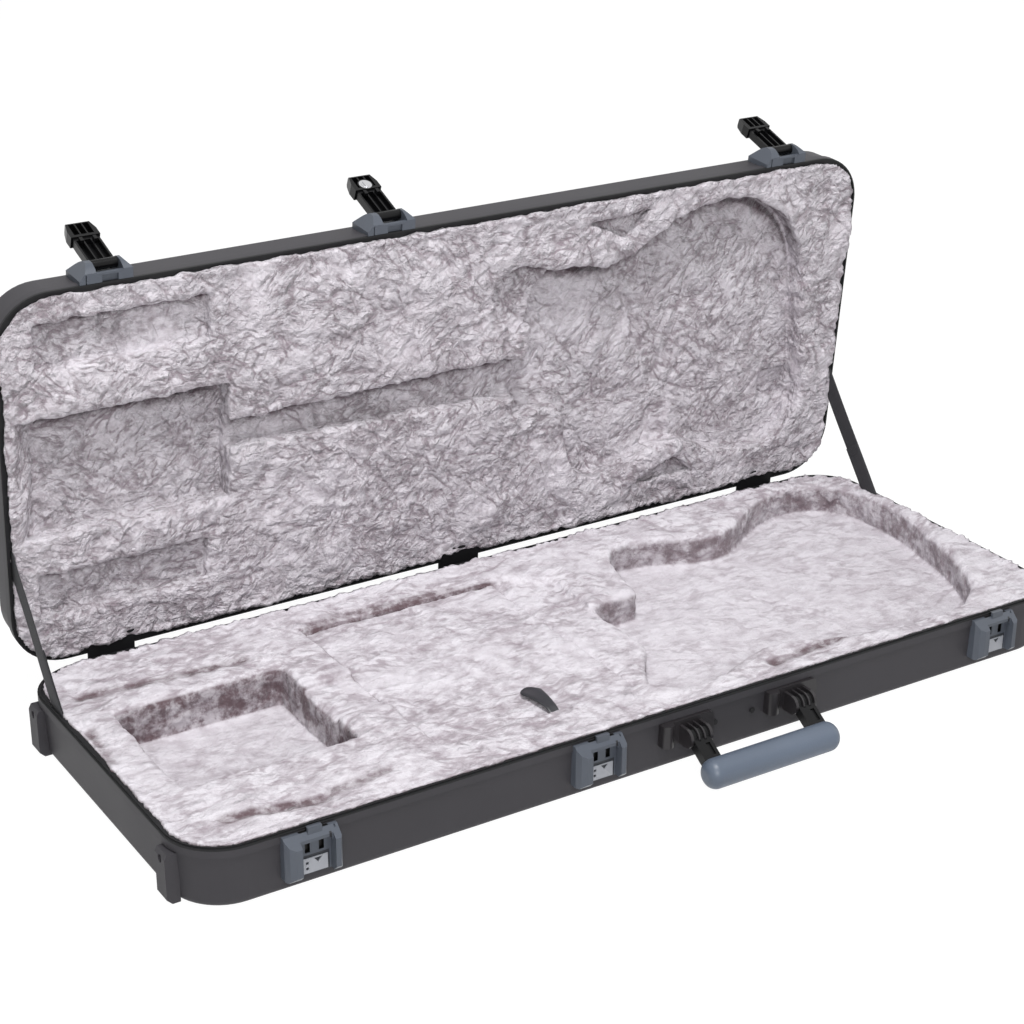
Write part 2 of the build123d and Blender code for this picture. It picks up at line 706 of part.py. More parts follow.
def latch_lever(x, lock):
    """Closed lever: ribbed channel, a wider hollow head and two prongs at its inner side."""
    outer_y = lever_pivot_y - lever_front
    inner_y = lever_pivot_y + lever_back
    head_outer_y = outer_y - head_swell
    head_inner_y = inner_y + head_swell
    tip_z = lever_pivot_z - lever_length
    head_z = tip_z + head_length
    with BuildPart() as lever:
        with BuildSketch(Plane.XZ.offset(-head_inner_y)):
            with BuildLine():
                Polyline(
                    (x - head_width / 2, head_z),
                    (x - head_width / 2, tip_z + 2 * head_corner),
                    (x - head_width / 2 + head_corner / 2, tip_z),
                    (x + head_width / 2 - head_corner / 2, tip_z),
                    (x + head_width / 2, tip_z + 2 * head_corner),
                    (x + head_width / 2, head_z),
                    close=True,
                )
            make_face()
        extrude(amount=head_inner_y - head_outer_y)
        tip_edges = lever.edges().filter_by(GeomType.LINE).group_by(Axis.Z)[0]
        chamfer(tip_edges.filter_by(Axis.X), head_swell)
        with BuildSketch(Plane.YZ.offset(x)):
            with BuildLine():
                Polyline(
                    (lever_pivot_y - barrel_radius, lever_pivot_z),
                    (outer_y, lever_pivot_z - 2 * barrel_radius),
                    (outer_y, head_z - head_bar),
                    (inner_y, head_z - head_bar),
                    (inner_y, lever_pivot_z),
                    close=True,
                )
            make_face()
            with Locations((lever_pivot_y, lever_pivot_z)):
                Circle(barrel_radius)
        extrude(amount=lever_width / 2, both=True)
        body_depth = lever_front + lever_back - lever_skin
        body_top_z = lever_pivot_z - barrel_radius - lever_rib
        add(lever_pockets(x, inner_y, body_depth, body_top_z, head_z + head_bar, lever_width),
            mode=Mode.SUBTRACT)
        head_depth = head_inner_y - head_outer_y - lever_skin
        head_pocket_top_z = head_z - head_bar
        add(lever_pockets(x, head_inner_y, head_depth, head_pocket_top_z, tip_z + head_corner / 2,
                          lever_width - lever_skin), mode=Mode.SUBTRACT)
        prong_y = inner_y + prong_depth / 2 - seat_gap
        prong_z = lever_pivot_z - prong_reach
        with Locations(*[(x + prong * prong_spacing / 2, prong_y, prong_z) for prong in (-1, 1)]):
            Box(prong_width, prong_depth, prong_height)
        with Locations(Location((x, lever_pivot_y, lever_pivot_z), (0, 90, 0))):
            Cylinder(latch_pin_radius + running_clearance, 2 * latch_width, mode=Mode.SUBTRACT)
        if lock:
            lock_spot = Location((x, (head_inner_y + head_outer_y) / 2, lever_pivot_z - lock_reach),
                                 (90, 0, 0))
            with Locations(lock_spot):
                Cylinder(lock_bezel_radius, head_inner_y - head_outer_y)
                Cylinder(lock_radius + running_clearance, 2 * latch_width, mode=Mode.SUBTRACT)
    return lever.part


def latch_receptacle(x):
    """Base housing: channel for the lever's head under a band, two prong slots and the tab."""
    middle_x = x + latch_shift
    top_z = base_height - receptacle_drop
    bottom_z = top_z - receptacle_height
    front_y = -(case_half_width + receptacle_proud)
    band_bottom_z = top_z - band_height
    with BuildPart() as receptacle:
        with BuildSketch(Plane.YZ.offset(middle_x)):
            with BuildLine():
                Polyline(
                    (front_y, bottom_z + receptacle_round),
                    (front_y, top_z - receptacle_top_slope),
                    (back_plate_y, top_z),
                    (-case_half_width - seat_gap, top_z),
                    (-case_half_width - seat_gap, base_lip_z),
                    (-base_wall(base_lip_z) - seat_gap, base_lip_z),
                    (-base_wall(bottom_z) - seat_gap, bottom_z),
                    (front_y + receptacle_round, bottom_z),
                    close=True,
                )
            make_face()
        extrude(amount=latch_width / 2, both=True)
        with BuildSketch(Plane.XY.offset(bottom_z)):
            with BuildLine():
                Polyline(
                    (middle_x - latch_width / 2, -case_half_width + receptacle_proud),
                    (middle_x - latch_width / 2, front_y + receptacle_cheek_round),
                    (middle_x - latch_width / 2 + receptacle_cheek_round / 3,
                     front_y + receptacle_cheek_round / 3),
                    (middle_x - latch_width / 2 + receptacle_cheek_round, front_y),
                    (middle_x + latch_width / 2 - head_swell, front_y),
                    (middle_x + latch_width / 2, front_y + head_swell),
                    (middle_x + latch_width / 2, -case_half_width + receptacle_proud),
                    close=True,
                )
            make_face()
        extrude(amount=receptacle_height, mode=Mode.INTERSECT)
        with BuildSketch(Plane.XZ.offset(-back_plate_y)):
            with Locations((x, band_bottom_z - receptacle_height / 2)):
                RectangleRounded(channel_width, receptacle_height, receptacle_round)
            with Locations((x, band_bottom_z - receptacle_height)):
                Rectangle(channel_width, receptacle_height)
        extrude(amount=receptacle_proud, mode=Mode.SUBTRACT)
        with Locations((x, -case_half_width - band_proud - receptacle_proud / 2, top_z)):
            Box(channel_width, receptacle_proud, 2 * receptacle_height, mode=Mode.SUBTRACT)
        with Locations(*[(x + prong * prong_spacing / 2, back_plate_y,
                          lever_pivot_z - prong_reach) for prong in (-1, 1)]):
            Box(slot_width, 2 * (back_plate - seat_gap), slot_height, mode=Mode.SUBTRACT)
        notch_x = (x + channel_width / 2 + middle_x + latch_width / 2) / 2
        with Locations((notch_x, back_plate_y - notch_width, top_z)):
            Box(notch_width, 2 * notch_width, 3 * notch_width, mode=Mode.SUBTRACT)
        with Locations((x, tab_y, tab_top_z - band_height / 2)):
            Box(tab_width, tab_thick, band_height)
    return receptacle.part


def latch_catch(x):
    """Pale wear plate low in the receptacle's channel, with a V cut and two small windows."""
    with BuildPart() as catch:
        with BuildSketch(Plane.XZ.offset(-back_plate_y + seat_gap)):
            with Locations((x, catch_centre_z)):
                Rectangle(catch_width, catch_height)
                with Locations((-catch_width / 3, catch_window), (-catch_width / 3, -catch_window)):
                    Rectangle(catch_window, catch_window, mode=Mode.SUBTRACT)
                with Locations((catch_window, catch_height / 2 - catch_window)):
                    Triangle(a=3 * catch_window, b=7, c=7, rotation=180, mode=Mode.SUBTRACT)
        extrude(amount=catch_thick)
    return catch.part


def swing_lever(piece, side):
    """Turn a closed lever piece to its open angle about the lever's own pivot."""
    pivot = Axis((0, lever_pivot_y, lever_pivot_z), (1, 0, 0))
    return piece.rotate(pivot, -lever_open_angles[side])


for side, x in latch_places.items():
    write(latch_bracket(x), f"latch_bracket_{side}", swung=True)
    write(swing_lever(latch_lever(x, side == "centre"), side), f"latch_lever_{side}", swung=True)
    with BuildPart() as latch_pin:
        with Locations(Location((x, lever_pivot_y, lever_pivot_z), (0, 90, 0))):
            Cylinder(latch_pin_radius, latch_pin_length)
    write(latch_pin.part, f"latch_pin_{side}", swung=True)
    write(latch_receptacle(x), f"latch_receptacle_{side}")
    write(latch_catch(x), f"latch_catch_{side}")

# Key lock through the centre lever's head
lock_x = latch_places["centre"]
lock_z = lever_pivot_z - lock_reach
lock_outer_y = lever_pivot_y - lever_front - head_swell
lock_inner_y = lever_pivot_y + lever_back + head_swell
with BuildPart() as lock_housing:
    with BuildSketch(Plane.XZ.offset(-lock_inner_y)):
        with Locations((lock_x, lock_z)):
            Circle(lock_radius)
            Circle(plug_radius + running_clearance, mode=Mode.SUBTRACT)
    extrude(amount=lock_inner_y - lock_outer_y + seat_gap)
    with BuildSketch(Plane.XZ.offset(-lock_outer_y + seat_gap)):
        with Locations((lock_x, lock_z)):
            Circle(lock_bezel_radius)
            Circle(plug_radius + running_clearance, mode=Mode.SUBTRACT)
    extrude(amount=lock_bezel_thick)
write(swing_lever(lock_housing.part, "centre"), "lock_housing", swung=True)

with BuildPart() as lock_plug:
    with BuildSketch(Plane.XZ.offset(-lock_inner_y - seat_gap)):
        with Locations((lock_x, lock_z)):
            Circle(plug_radius)
    extrude(amount=lock_inner_y - lock_outer_y + 2 * seat_gap + lock_bezel_thick)
    with BuildSketch(Plane.XZ.offset(-lock_inner_y - seat_gap - cam_thick)):
        with Locations((lock_x, lock_z)):
            SlotOverall(cam_length, cam_length / 3, rotation=90)
    extrude(amount=cam_thick)
    keyway_y = lock_outer_y - seat_gap - lock_bezel_thick
    with Locations((lock_x, keyway_y, lock_z)):
        Box(keyway_width, 2 * keyway_depth, 1.3 * plug_radius, mode=Mode.SUBTRACT)
write(swing_lever(lock_plug.part, "centre"), "lock_plug", swung=True)

# Carrying handle: two brackets, two arms on pins and the soft grip
handle_y = -(case_half_width + handle_pivot_proud)
arm_turn = radians(arm_drop_angle)
arm_way = Vector(0, -cos(arm_turn), -sin(arm_turn))
arm_places = {"left": handle_centre_x - arm_spacing / 2, "right": handle_centre_x + arm_spacing / 2}
lug_start = arm_width / 2 + arm_side_gap
fin_reach = lug_radius + 2 * arm_side_gap + running_clearance


def handle_bracket(x):
    """Back plate with a half-round column at the left and four round fins about the pin."""
    plate_y = -(case_half_width + seat_gap + handle_plate_thick)
    with BuildPart() as bracket:
        with BuildSketch(Plane.YZ.offset(x - handle_plate_left)):
            with BuildLine():
                Polyline(
                    (plate_y, handle_plate_bottom),
                    (plate_y, handle_plate_top),
                    (-base_wall(handle_plate_top) - seat_gap, handle_plate_top),
                    (-base_wall(handle_plate_bottom) - seat_gap, handle_plate_bottom),
                    close=True,
                )
            make_face()
        extrude(amount=handle_plate_left + handle_plate_right)
        corners = bracket.edges().filter_by(Axis.Y).group_by(Axis.X)[-1]
        fillet(corners, handle_plate_corner)
        with BuildSketch(Plane.XY.offset(handle_plate_bottom)):
            with Locations((x - handle_plate_left + column_radius, plate_y)):
                Circle(column_radius)
            with Locations((x - handle_plate_left + column_radius, plate_y + column_radius + 1)):
                Rectangle(2 * column_radius, 2 * column_radius, mode=Mode.SUBTRACT)
        extrude(amount=handle_plate_top - handle_plate_bottom)
        with BuildSketch(Plane.YZ) as lug_profile:
            with Locations((handle_y, handle_pivot_z)):
                Circle(lug_radius)
            with Locations(((handle_y + plate_y) / 2, handle_pivot_z)):
                Rectangle(abs(handle_y - plate_y), 2 * lug_radius)
        lug_face = lug_profile.sketch
        fins = (
            (-lug_start - lug_thick, lug_thick),
            (-fin_offset - fin_thick / 2, fin_thick),
            (fin_offset - fin_thick / 2, fin_thick),
            (lug_start, lug_thick),
        )
        for fin_x, thick in fins:
            extrude(lug_face.moved(Location((x + fin_x, 0, 0))), amount=thick)
        with Locations(Location((x, handle_y, handle_pivot_z), (0, 90, 0))):
            Cylinder(hub_radius + arm_side_gap, 2 * lug_start, mode=Mode.SUBTRACT)
            Cylinder(handle_pin_radius + running_clearance,
                     2 * (lug_start + handle_pin_grip + running_clearance), mode=Mode.SUBTRACT)
    return bracket.part


def handle_arm(x):
    """Barrel on the pin with slots for the fins, a grooved shank and the tang in the grip."""
    arm_plane = Plane(origin=(x, handle_y, handle_pivot_z), x_dir=(1, 0, 0), z_dir=arm_way)
    with BuildPart() as arm:
        with Locations(Location((x, handle_y, handle_pivot_z), (0, 90, 0))):
            Cylinder(arm_barrel_radius, arm_width)
        with BuildSketch(arm_plane):
            Rectangle(arm_width, arm_thick)
        extrude(amount=arm_root)
        with BuildSketch(arm_plane.offset(arm_root)):
            Circle(tang_radius)
        extrude(amount=arm_tang)
        groove_start = fin_reach + lever_skin
        with BuildSketch(arm_plane.offset(groove_start)):
            with Locations((fin_offset, arm_thick / 2), (fin_offset, -arm_thick / 2)):
                Rectangle(arm_groove_width, 2 * arm_groove_depth)
        extrude(amount=arm_length - grip_radius - lever_skin - groove_start, mode=Mode.SUBTRACT)
        for fin in (-1, 1):
            with Locations(Location((x + fin * fin_offset, handle_y, handle_pivot_z), (0, 90, 0))):
                Cylinder(fin_reach, fin_thick + 2 * arm_side_gap, mode=Mode.SUBTRACT)
        with Locations(Location((x, handle_y, handle_pivot_z), (0, 90, 0))):
            Cylinder(hub_radius, arm_width)
            Cylinder(handle_pin_radius + running_clearance, 2 * arm_width, mode=Mode.SUBTRACT)
    return arm.part


for side, x in arm_places.items():
    write(handle_bracket(x), f"handle_bracket_{side}")
    write(handle_arm(x), f"handle_arm_{side}")
    with BuildPart() as handle_pin:
        with Locations(Location((x, handle_y, handle_pivot_z), (0, 90, 0))):
            Cylinder(handle_pin_radius, 2 * (lug_start + handle_pin_grip))
    write(handle_pin.part, f"handle_pin_{side}")

# Grip: a thick bar with rounded ends and a socket for each arm
grip_middle = Vector(handle_centre_x, handle_y, handle_pivot_z) + arm_way * arm_length
with BuildPart() as handle_grip:
    with Locations(Location(grip_middle, (0, 90, 0))):
        Cylinder(grip_radius, arm_spacing + 2 * grip_end)
    fillet(handle_grip.edges().group_by(Axis.X)[0], grip_end_round)
    fillet(handle_grip.edges().group_by(Axis.X)[-1], grip_end_round)
    for x in arm_places.values():
        socket_plane = Plane(origin=(x, handle_y, handle_pivot_z), x_dir=(1, 0, 0), z_dir=arm_way)
        with BuildSketch(socket_plane.offset(arm_length - grip_radius - seat_gap)):
            Rectangle(arm_width + 2 * seat_gap, arm_thick + 2 * seat_gap)
        extrude(amount=arm_root - arm_length + grip_radius + 2 * seat_gap, mode=Mode.SUBTRACT)
        with BuildSketch(socket_plane.offset(arm_root)):
            Circle(tang_radius + running_clearance)
        extrude(amount=arm_tang + lever_side_gap, mode=Mode.SUBTRACT)
write(handle_grip.part, "handle_grip")

# Round rubber stops on the wall between the brackets
with BuildPart() as handle_stops:
    for offset_x, stop_z in handle_stop_places:
        stop_y = base_wall(stop_z + handle_stop_radius) + seat_gap
        with BuildSketch(Plane.XZ.offset(stop_y)):
            with Locations((handle_centre_x + offset_x, stop_z)):
                Circle(handle_stop_radius)
        extrude(amount=handle_stop_thick)
write(handle_stops.part, "handle_stops")
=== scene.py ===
import itertools
import json
import math

import bmesh
import bpy
import numpy as np
from mathutils import Matrix, Vector

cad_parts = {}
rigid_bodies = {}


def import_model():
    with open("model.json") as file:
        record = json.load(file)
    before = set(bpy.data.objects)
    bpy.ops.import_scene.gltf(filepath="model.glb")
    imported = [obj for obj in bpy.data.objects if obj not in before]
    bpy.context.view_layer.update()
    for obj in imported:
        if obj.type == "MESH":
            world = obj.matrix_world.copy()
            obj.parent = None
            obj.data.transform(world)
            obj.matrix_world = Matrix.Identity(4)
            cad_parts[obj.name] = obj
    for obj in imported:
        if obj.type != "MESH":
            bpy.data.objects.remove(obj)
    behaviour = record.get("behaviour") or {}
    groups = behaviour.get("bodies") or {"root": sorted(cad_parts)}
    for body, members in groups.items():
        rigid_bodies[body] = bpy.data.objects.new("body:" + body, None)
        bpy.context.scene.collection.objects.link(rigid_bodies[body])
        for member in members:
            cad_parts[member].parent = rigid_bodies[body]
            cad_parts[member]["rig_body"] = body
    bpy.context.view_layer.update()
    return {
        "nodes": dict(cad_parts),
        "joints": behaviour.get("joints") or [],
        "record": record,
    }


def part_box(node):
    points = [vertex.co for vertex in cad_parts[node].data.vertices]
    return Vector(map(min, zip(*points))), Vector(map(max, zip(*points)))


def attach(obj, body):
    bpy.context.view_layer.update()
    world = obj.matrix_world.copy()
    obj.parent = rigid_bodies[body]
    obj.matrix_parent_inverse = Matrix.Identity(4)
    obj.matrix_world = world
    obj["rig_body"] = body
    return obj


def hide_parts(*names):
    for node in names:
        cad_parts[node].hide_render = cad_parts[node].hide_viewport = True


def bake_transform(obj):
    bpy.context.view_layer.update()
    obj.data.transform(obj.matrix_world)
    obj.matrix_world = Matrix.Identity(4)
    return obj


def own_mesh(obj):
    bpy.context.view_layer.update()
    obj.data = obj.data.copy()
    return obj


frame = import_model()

# Metres, in the frame's own axes: +X along the case, -Y to the handle, +Z up.
MM = 0.001

# The lid's hinge line and how far the lid stands open
lid_hinge = next(j for j in frame["joints"] if j["name"] == "lid_hinge")
hinge_point = np.array(lid_hinge["pos_m"])
open_angle = math.radians(-lid_hinge["range_deg"][0])

# Plan outline of the closed case
base_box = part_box("base_valance")
case_half = (base_box[1][0], base_box[1][1])
corner_radius = 60 * MM

# Plush: mesh size, mean swelling over the foam, and how far its rim lifts over the frame
PLUSH_VOXEL = 2.0 * MM
PLUSH_SWELL = 2.0 * MM
RIM_LIFT = 2.4 * MM
PLUSH_NAMES = {"base_liner": "plush_base", "lid_liner": "plush_lid", "compartment_lid": "plush_board"}

# Stay straps, in millimetres: half width, run past the rivets' middles, and share of doubled length
STRAP_HALF_WIDTH = 12.2
STRAP_RUN_ON = 9.0
STRAP_DOUBLED = 0.42

# Pull tab, in millimetres: half width at its root, how much wider it grows, height over the plush
TAB_ROOT = 5.5
TAB_SPREAD = 6.5
TAB_LIFT = 3.0

# Plan corners of the board over the accessory compartment
board_low, board_high = (np.array(corner)[:2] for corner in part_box("compartment_lid"))

# Camera of the photograph
PHOTO_SIZE = 1024
FOCAL_PIXELS = 2223.8
CENTRE_PIXEL = (507.9, 534.3)
CAMERA_PLACE = (-1.20826, -1.80881, 1.16682)
CAMERA_YAW = 0.5603
CAMERA_PITCH = 0.4250
CAMERA_ROLL = 0.0040

# Stage: half the floor's length, its brightness to the camera, and the even light from all round
FLOOR_HALF = 12.0
FLOOR_WHITE = 1.13
FILL_LIGHT = 0.22


def link(obj):
    """Put a new object in the scene."""
    bpy.context.scene.collection.objects.link(obj)
    return obj


def turn_lid(points, angle):
    """Rotate an array of points about the lid's hinge line."""
    c = math.cos(angle)
    s = math.sin(angle)
    y = points[:, 1] - hinge_point[1]
    z = points[:, 2] - hinge_point[2]
    turned = points.copy()
    turned[:, 1] = hinge_point[1] + y * c - z * s
    turned[:, 2] = hinge_point[2] + y * s + z * c
    return turned


def gradient_noise(points, seed):
    """Smooth noise from about -1 to 1 at an array of points, one lattice cell per unit."""
    cell = np.floor(points).astype(np.int64)
    part = points - cell
    ease = part * part * part * (part * (part * 6 - 15) + 10)
    total = np.zeros(len(points))
    for corner in itertools.product((0, 1), repeat=3):
        offset = np.array(corner)
        place = cell + offset
        mixed = place[:, 0] * 73856093 ^ place[:, 1] * 19349663 ^ place[:, 2] * 83492791
        mixed = (mixed ^ seed * 2654435761) & 0xFFFFFFFF
        mixed = ((mixed ^ mixed >> 13) * 1274126177) & 0xFFFFFFFF
        mixed ^= mixed >> 16
        slope = np.stack([(mixed >> shift & 1023) / 511.5 - 1 for shift in (0, 10, 20)], axis=1)
        weight = np.prod(np.where(offset == 1, ease, 1 - ease), axis=1)
        total += weight * np.einsum("ij,ij->i", slope, part - offset)
    return 1.6 * total


def folded(points_mm, seed, sizes):
    """Height, about 0 to 1, of crushed plush: sharp folds in patches, each size with its own lie."""
    height = np.zeros(len(points_mm))
    for way, size in enumerate(sizes):
        turn = 0.4 + way * 2.4
        across = np.array([math.cos(turn), math.sin(turn), 0.35])
        wander = 0.8 * gradient_noise(points_mm / (2.6 * size), seed + way)
        phase = points_mm @ across / size + wander
        wave = 2 * np.abs(phase - np.floor(phase) - 0.5)
        patch = np.clip(0.45 + 1.9 * gradient_noise(points_mm / (1.5 * size), seed + 50 + way), 0, 1)
        height += patch * (1 - wave) * size / max(sizes)
    return height


def vertex_array(mesh, name="co"):
    """The mesh's vertices, or their normals, as an array."""
    points = np.empty(len(mesh.vertices) * 3)
    mesh.vertices.foreach_get(name, points)
    return points.reshape(-1, 3)


def smooth_array(points, edges, rounds):
    """Even out vertices along the mesh's edges."""
    first, second = edges[:, 0], edges[:, 1]
    degree = np.maximum(np.bincount(edges.ravel(), minlength=len(points)), 1)[:, None]
    for _ in range(rounds):
        total = np.zeros_like(points)
        for axis in range(points.shape[1]):
            total[:, axis] = (np.bincount(first, points[second, axis], len(points))
                              + np.bincount(second, points[first, axis], len(points)))
        points = 0.5 * points + 0.5 * total / degree
    return points


def edge_array(mesh):
    """The mesh's edges as pairs of vertex numbers."""
    edges = np.empty(len(mesh.edges) * 2, dtype=np.int64)
    mesh.edges.foreach_get("vertices", edges)
    return edges.reshape(-1, 2)


def edge_distance(points):
    """Distance inside the case outline, in metres, in plan."""
    beyond = np.abs(points[:, :2]) - (np.array(case_half) - corner_radius)
    return corner_radius - (np.linalg.norm(np.maximum(beyond, 0), axis=1)
                            + np.minimum(beyond.max(axis=1), 0))


def outward(points):
    """Plan directions, one per point, straight out to the nearest part of the case outline."""
    beyond = np.abs(points[:, :2]) - (np.array(case_half) - corner_radius)
    straight = np.eye(2)[beyond.argmax(axis=1)]
    way = np.where(beyond.min(axis=1, keepdims=True) > 0, np.maximum(beyond, 0), straight)
    return way / np.linalg.norm(way, axis=1, keepdims=True) * np.sign(points[:, :2])


# Plush liners, made from the foam's shape: rounded, swollen and crumpled

def remeshed(source, name, in_lid):
    """A fine even mesh of a CAD node, in the frame of the closed case."""
    mesh = source.data.copy()
    if in_lid:
        mesh.vertices.foreach_set("co", turn_lid(vertex_array(mesh), open_angle).ravel())
    piece = link(bpy.data.objects.new(name, mesh))
    mesh.materials.clear()
    remesh = piece.modifiers.new("remesh", "REMESH")
    remesh.mode = "VOXEL"
    remesh.voxel_size = PLUSH_VOXEL
    graph = bpy.context.evaluated_depsgraph_get()
    fine = bpy.data.meshes.new_from_object(piece.evaluated_get(graph))
    piece.modifiers.clear()
    piece.data = fine
    fine.name = name
    return piece


def drop_vertices(mesh, unwanted):
    """Delete the marked vertices and their faces."""
    work = bmesh.new()
    work.from_mesh(mesh)
    work.verts.ensure_lookup_table()
    bmesh.ops.delete(work, geom=[work.verts[i] for i in np.flatnonzero(unwanted)], context="VERTS")
    work.to_mesh(mesh)
    work.free()


def ledge_shade(points, depth):
    """Share from 0 to 1 by which a ledge towards the lid's front, above it once open, hides each point."""
    cell = PLUSH_VOXEL
    border = 20
    place = np.floor((points[:, :2] - points[:, :2].min(axis=0)) / cell).astype(int) + border
    heights = np.full(place.max(axis=0) + border + 1, -1.0)
    np.maximum.at(heights, (place[:, 0], place[:, 1]), -depth)
    for axis in (0, 1):
        filled = np.maximum(np.roll(heights, 1, axis), np.roll(heights, -1, axis))
        heights = np.where(heights < -0.5, filled, heights)
    steepest = np.zeros(len(points))
    for step in range(2, 15):
        for lean in (-0.15, 0.0, 0.15):
            above = heights[place[:, 0] + round(lean * step), place[:, 1] - step]
            steepest = np.maximum(steepest, (above + depth) / (step * cell * math.hypot(1, lean)))
    share = np.clip((steepest - 0.45) / 1.4, 0, 1)
    return share * share * (3 - 2 * share)


def groove_share(points, ends, width):
    """How near each point is, in plan, to a soft line between two ends: 1 on it, 0 well away."""
    start, end = (np.array(end) * MM for end in ends)
    along = end - start
    place = np.clip((points[:, :2] - start) @ along / (along @ along), 0, 1)
    off = np.linalg.norm(points[:, :2] - start - place[:, None] * along, axis=1)
    return np.exp(-(off / (width * MM)) ** 2)


def plush_piece(node, in_lid, rounds, fold, sizes, overhang, grooves, seed):
    """A plush skin over a liner node: rounded, swollen, crumpled, and hanging over the rim."""
    source = frame["nodes"][node]
    piece = remeshed(source, PLUSH_NAMES[node], in_lid)
    mesh = piece.data

    # Rounded form inside, crisp at the rim
    crisp = smooth_array(vertex_array(mesh), edge_array(mesh), 3)
    rounded = smooth_array(crisp, edge_array(mesh), rounds)
    inner = np.clip((edge_distance(crisp) - 14 * MM) / (8 * MM), 0, 1)[:, None]
    points = crisp + (rounded - crisp) * inner
    side = -1 if in_lid else 1
    face = points[:, 2].min() if in_lid else points[:, 2].max()
    depth = (face - points[:, 2]) * side
    mesh.vertices.foreach_set("co", points.ravel())

    # The sides and the underside lie against the shell and go
    if node != "compartment_lid":
        hidden = (edge_distance(points) < 11.5 * MM) & (depth > 6 * MM)
        drop_vertices(mesh, hidden | (depth > depth.max() - 6 * MM))
    mesh.update()

    # How hollow, steep and shaded each point is, for painted shade in hollows, on walls and under ledges,
    # and how calm and near the rim it is
    points = vertex_array(mesh)
    edges = edge_array(mesh)
    normals = smooth_array(vertex_array(mesh, "normal"), edges, 2)
    normals /= np.linalg.norm(normals, axis=1)[:, None] + 1e-9
    hollow_shade = np.einsum("ij,ij->i", smooth_array(points, edges, 14) - points, normals) / MM
    wall_shade = np.clip(1.2 - np.abs(normals[:, 2]) * 1.3, 0, 1)
    shade = np.zeros(len(points))
    # In the lid, painted shade on walls and in hollows only where they face down once open; in the base,
    # less painted shade on the walls of the body's hollow than in the pocket
    if in_lid:
        shaded = np.clip(0.12 + 1.2 * smooth_array(normals, edges, 6)[:, 1], 0, 1)
        wall_shade *= shaded
        hollow_shade *= np.clip(1.6 * shaded, 0, 1)
    else:
        wall_shade *= np.where(points[:, 0] > 0.02, 0.62, 1.15)
    depth = (face - points[:, 2]) * side
    seam = np.maximum(board_low - points[:, :2], points[:, :2] - board_high).max(axis=1)
    hollow_shade *= 0.15 + 0.85 * np.clip((np.abs(seam) / MM - 5) / 4, 0, 1)
    if in_lid:
        sideways = np.abs(smooth_array(normals, edges, 8)[:, 0])
        shade = smooth_array(ledge_shade(points, depth)[:, None], edges, 2)[:, 0]
        shade *= np.clip(1.2 - 2.6 * sideways, 0, 1)
    calm = np.clip((depth / MM - 16) / 10, 0, 1) * (1 - np.clip(2 * wall_shade, 0, 1))
    rim = np.clip(1 - (edge_distance(points) - 9.5 * MM) / (5 * MM), 0, 1)
    if node == "compartment_lid":
        rim = np.zeros(len(points))

    # Swelling, folds, tufts and fuzz outwards, grooves inwards
    height = folded(points / MM, seed, sizes)
    soft = gradient_noise(points / MM / 60, seed + 40) + 0.7 * gradient_noise(points / MM / 24, seed + 41)
    tufts = gradient_noise(points / MM / 9, seed + 43)
    fuzz = gradient_noise(points / MM / 4.4, seed + 42)
    push = PLUSH_SWELL + fold * (height - 0.35) * (1 - 0.5 * calm) + 0.8 * MM * soft
    edge = np.clip(-hollow_shade / 1.5, 0, 1)
    push += ((0.35 + 0.3 * wall_shade + 0.5 * rim + 0.5 * edge) * MM * fuzz
             + (0.4 + 0.5 * rim + 0.9 * edge) * MM * tufts)
    push = np.where(depth > 3 * MM, push, np.maximum(push, 0.8 * MM))
    # Grooves are pressed in, and painted shade is added along them through the hollow shade
    for ends, width, deep, tone in grooves:
        share = groove_share(points, ends, width) * (depth < 12 * MM)
        push -= deep * MM * share
        hollow_shade += tone * share
    points = points + normals * push[:, None]

    # The rim lifts and hangs over the frame
    lift = rim * np.clip(1.5 - depth / (3 * MM), 0, 1)
    points[:, 2] += side * RIM_LIFT * lift
    ways = outward(points)
    front, rear, left, right = overhang
    reach = (front * np.minimum(ways[:, 1], 0) ** 2 + rear * np.maximum(ways[:, 1], 0) ** 2
             + left * np.minimum(ways[:, 0], 0) ** 2 + right * np.maximum(ways[:, 0], 0) ** 2)
    ragged = 1 + 0.25 * gradient_noise(points / MM / 11, seed + 44) + 0.2 * fuzz
    over = np.clip((face + side * 1.2 * MM - points[:, 2]) * -side / (1.6 * MM), 0, 1)
    points[:, :2] += ways * (reach * MM * ragged * rim * over)[:, None]

    # Stored for the material: fold height for painted highlight, and the shares of painted shade in
    # hollows, on walls and under ledges
    for label, values in (("fold", height), ("hollow_shade", hollow_shade), ("wall_shade", wall_shade), ("calm", calm),
                          ("shade", shade)):
        mesh.attributes.new(label, "FLOAT", "POINT").data.foreach_set("value", values.astype(np.float32))
    if in_lid:
        points = turn_lid(points, -open_angle)
    mesh.vertices.foreach_set("co", points.ravel())
    mesh.update()
    mesh.polygons.foreach_set("use_smooth", [True] * len(mesh.polygons))
    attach(piece, source["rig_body"])
    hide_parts(node)
    return piece


# Materials

def new_material(name, colour, roughness):
    """A Principled material, with its node tree and shader."""
    material = bpy.data.materials.new(name)
    material.use_nodes = True
    tree = material.node_tree
    shader = tree.nodes["Principled BSDF"]
    shader.inputs["Base Color"].default_value = (*colour, 1)
    shader.inputs["Roughness"].default_value = roughness
    return material, tree, shader


def add_node(tree, kind, settings=(), inputs=()):
    """Add a node, with its properties and input values."""
    node = tree.nodes.new(kind)
    for key, value in dict(settings).items():
        setattr(node, key, value)
    for key, value in dict(inputs).items():
        node.inputs[key].default_value = value
    return node


def noise(tree, place, scale, detail, roughness=0.5):
    """A noise value at a place."""
    node = add_node(tree, "ShaderNodeTexNoise", inputs={
        "Scale": scale, "Detail": detail, "Roughness": roughness})
    tree.links.new(place, node.inputs["Vector"])
    return node.outputs["Fac"]


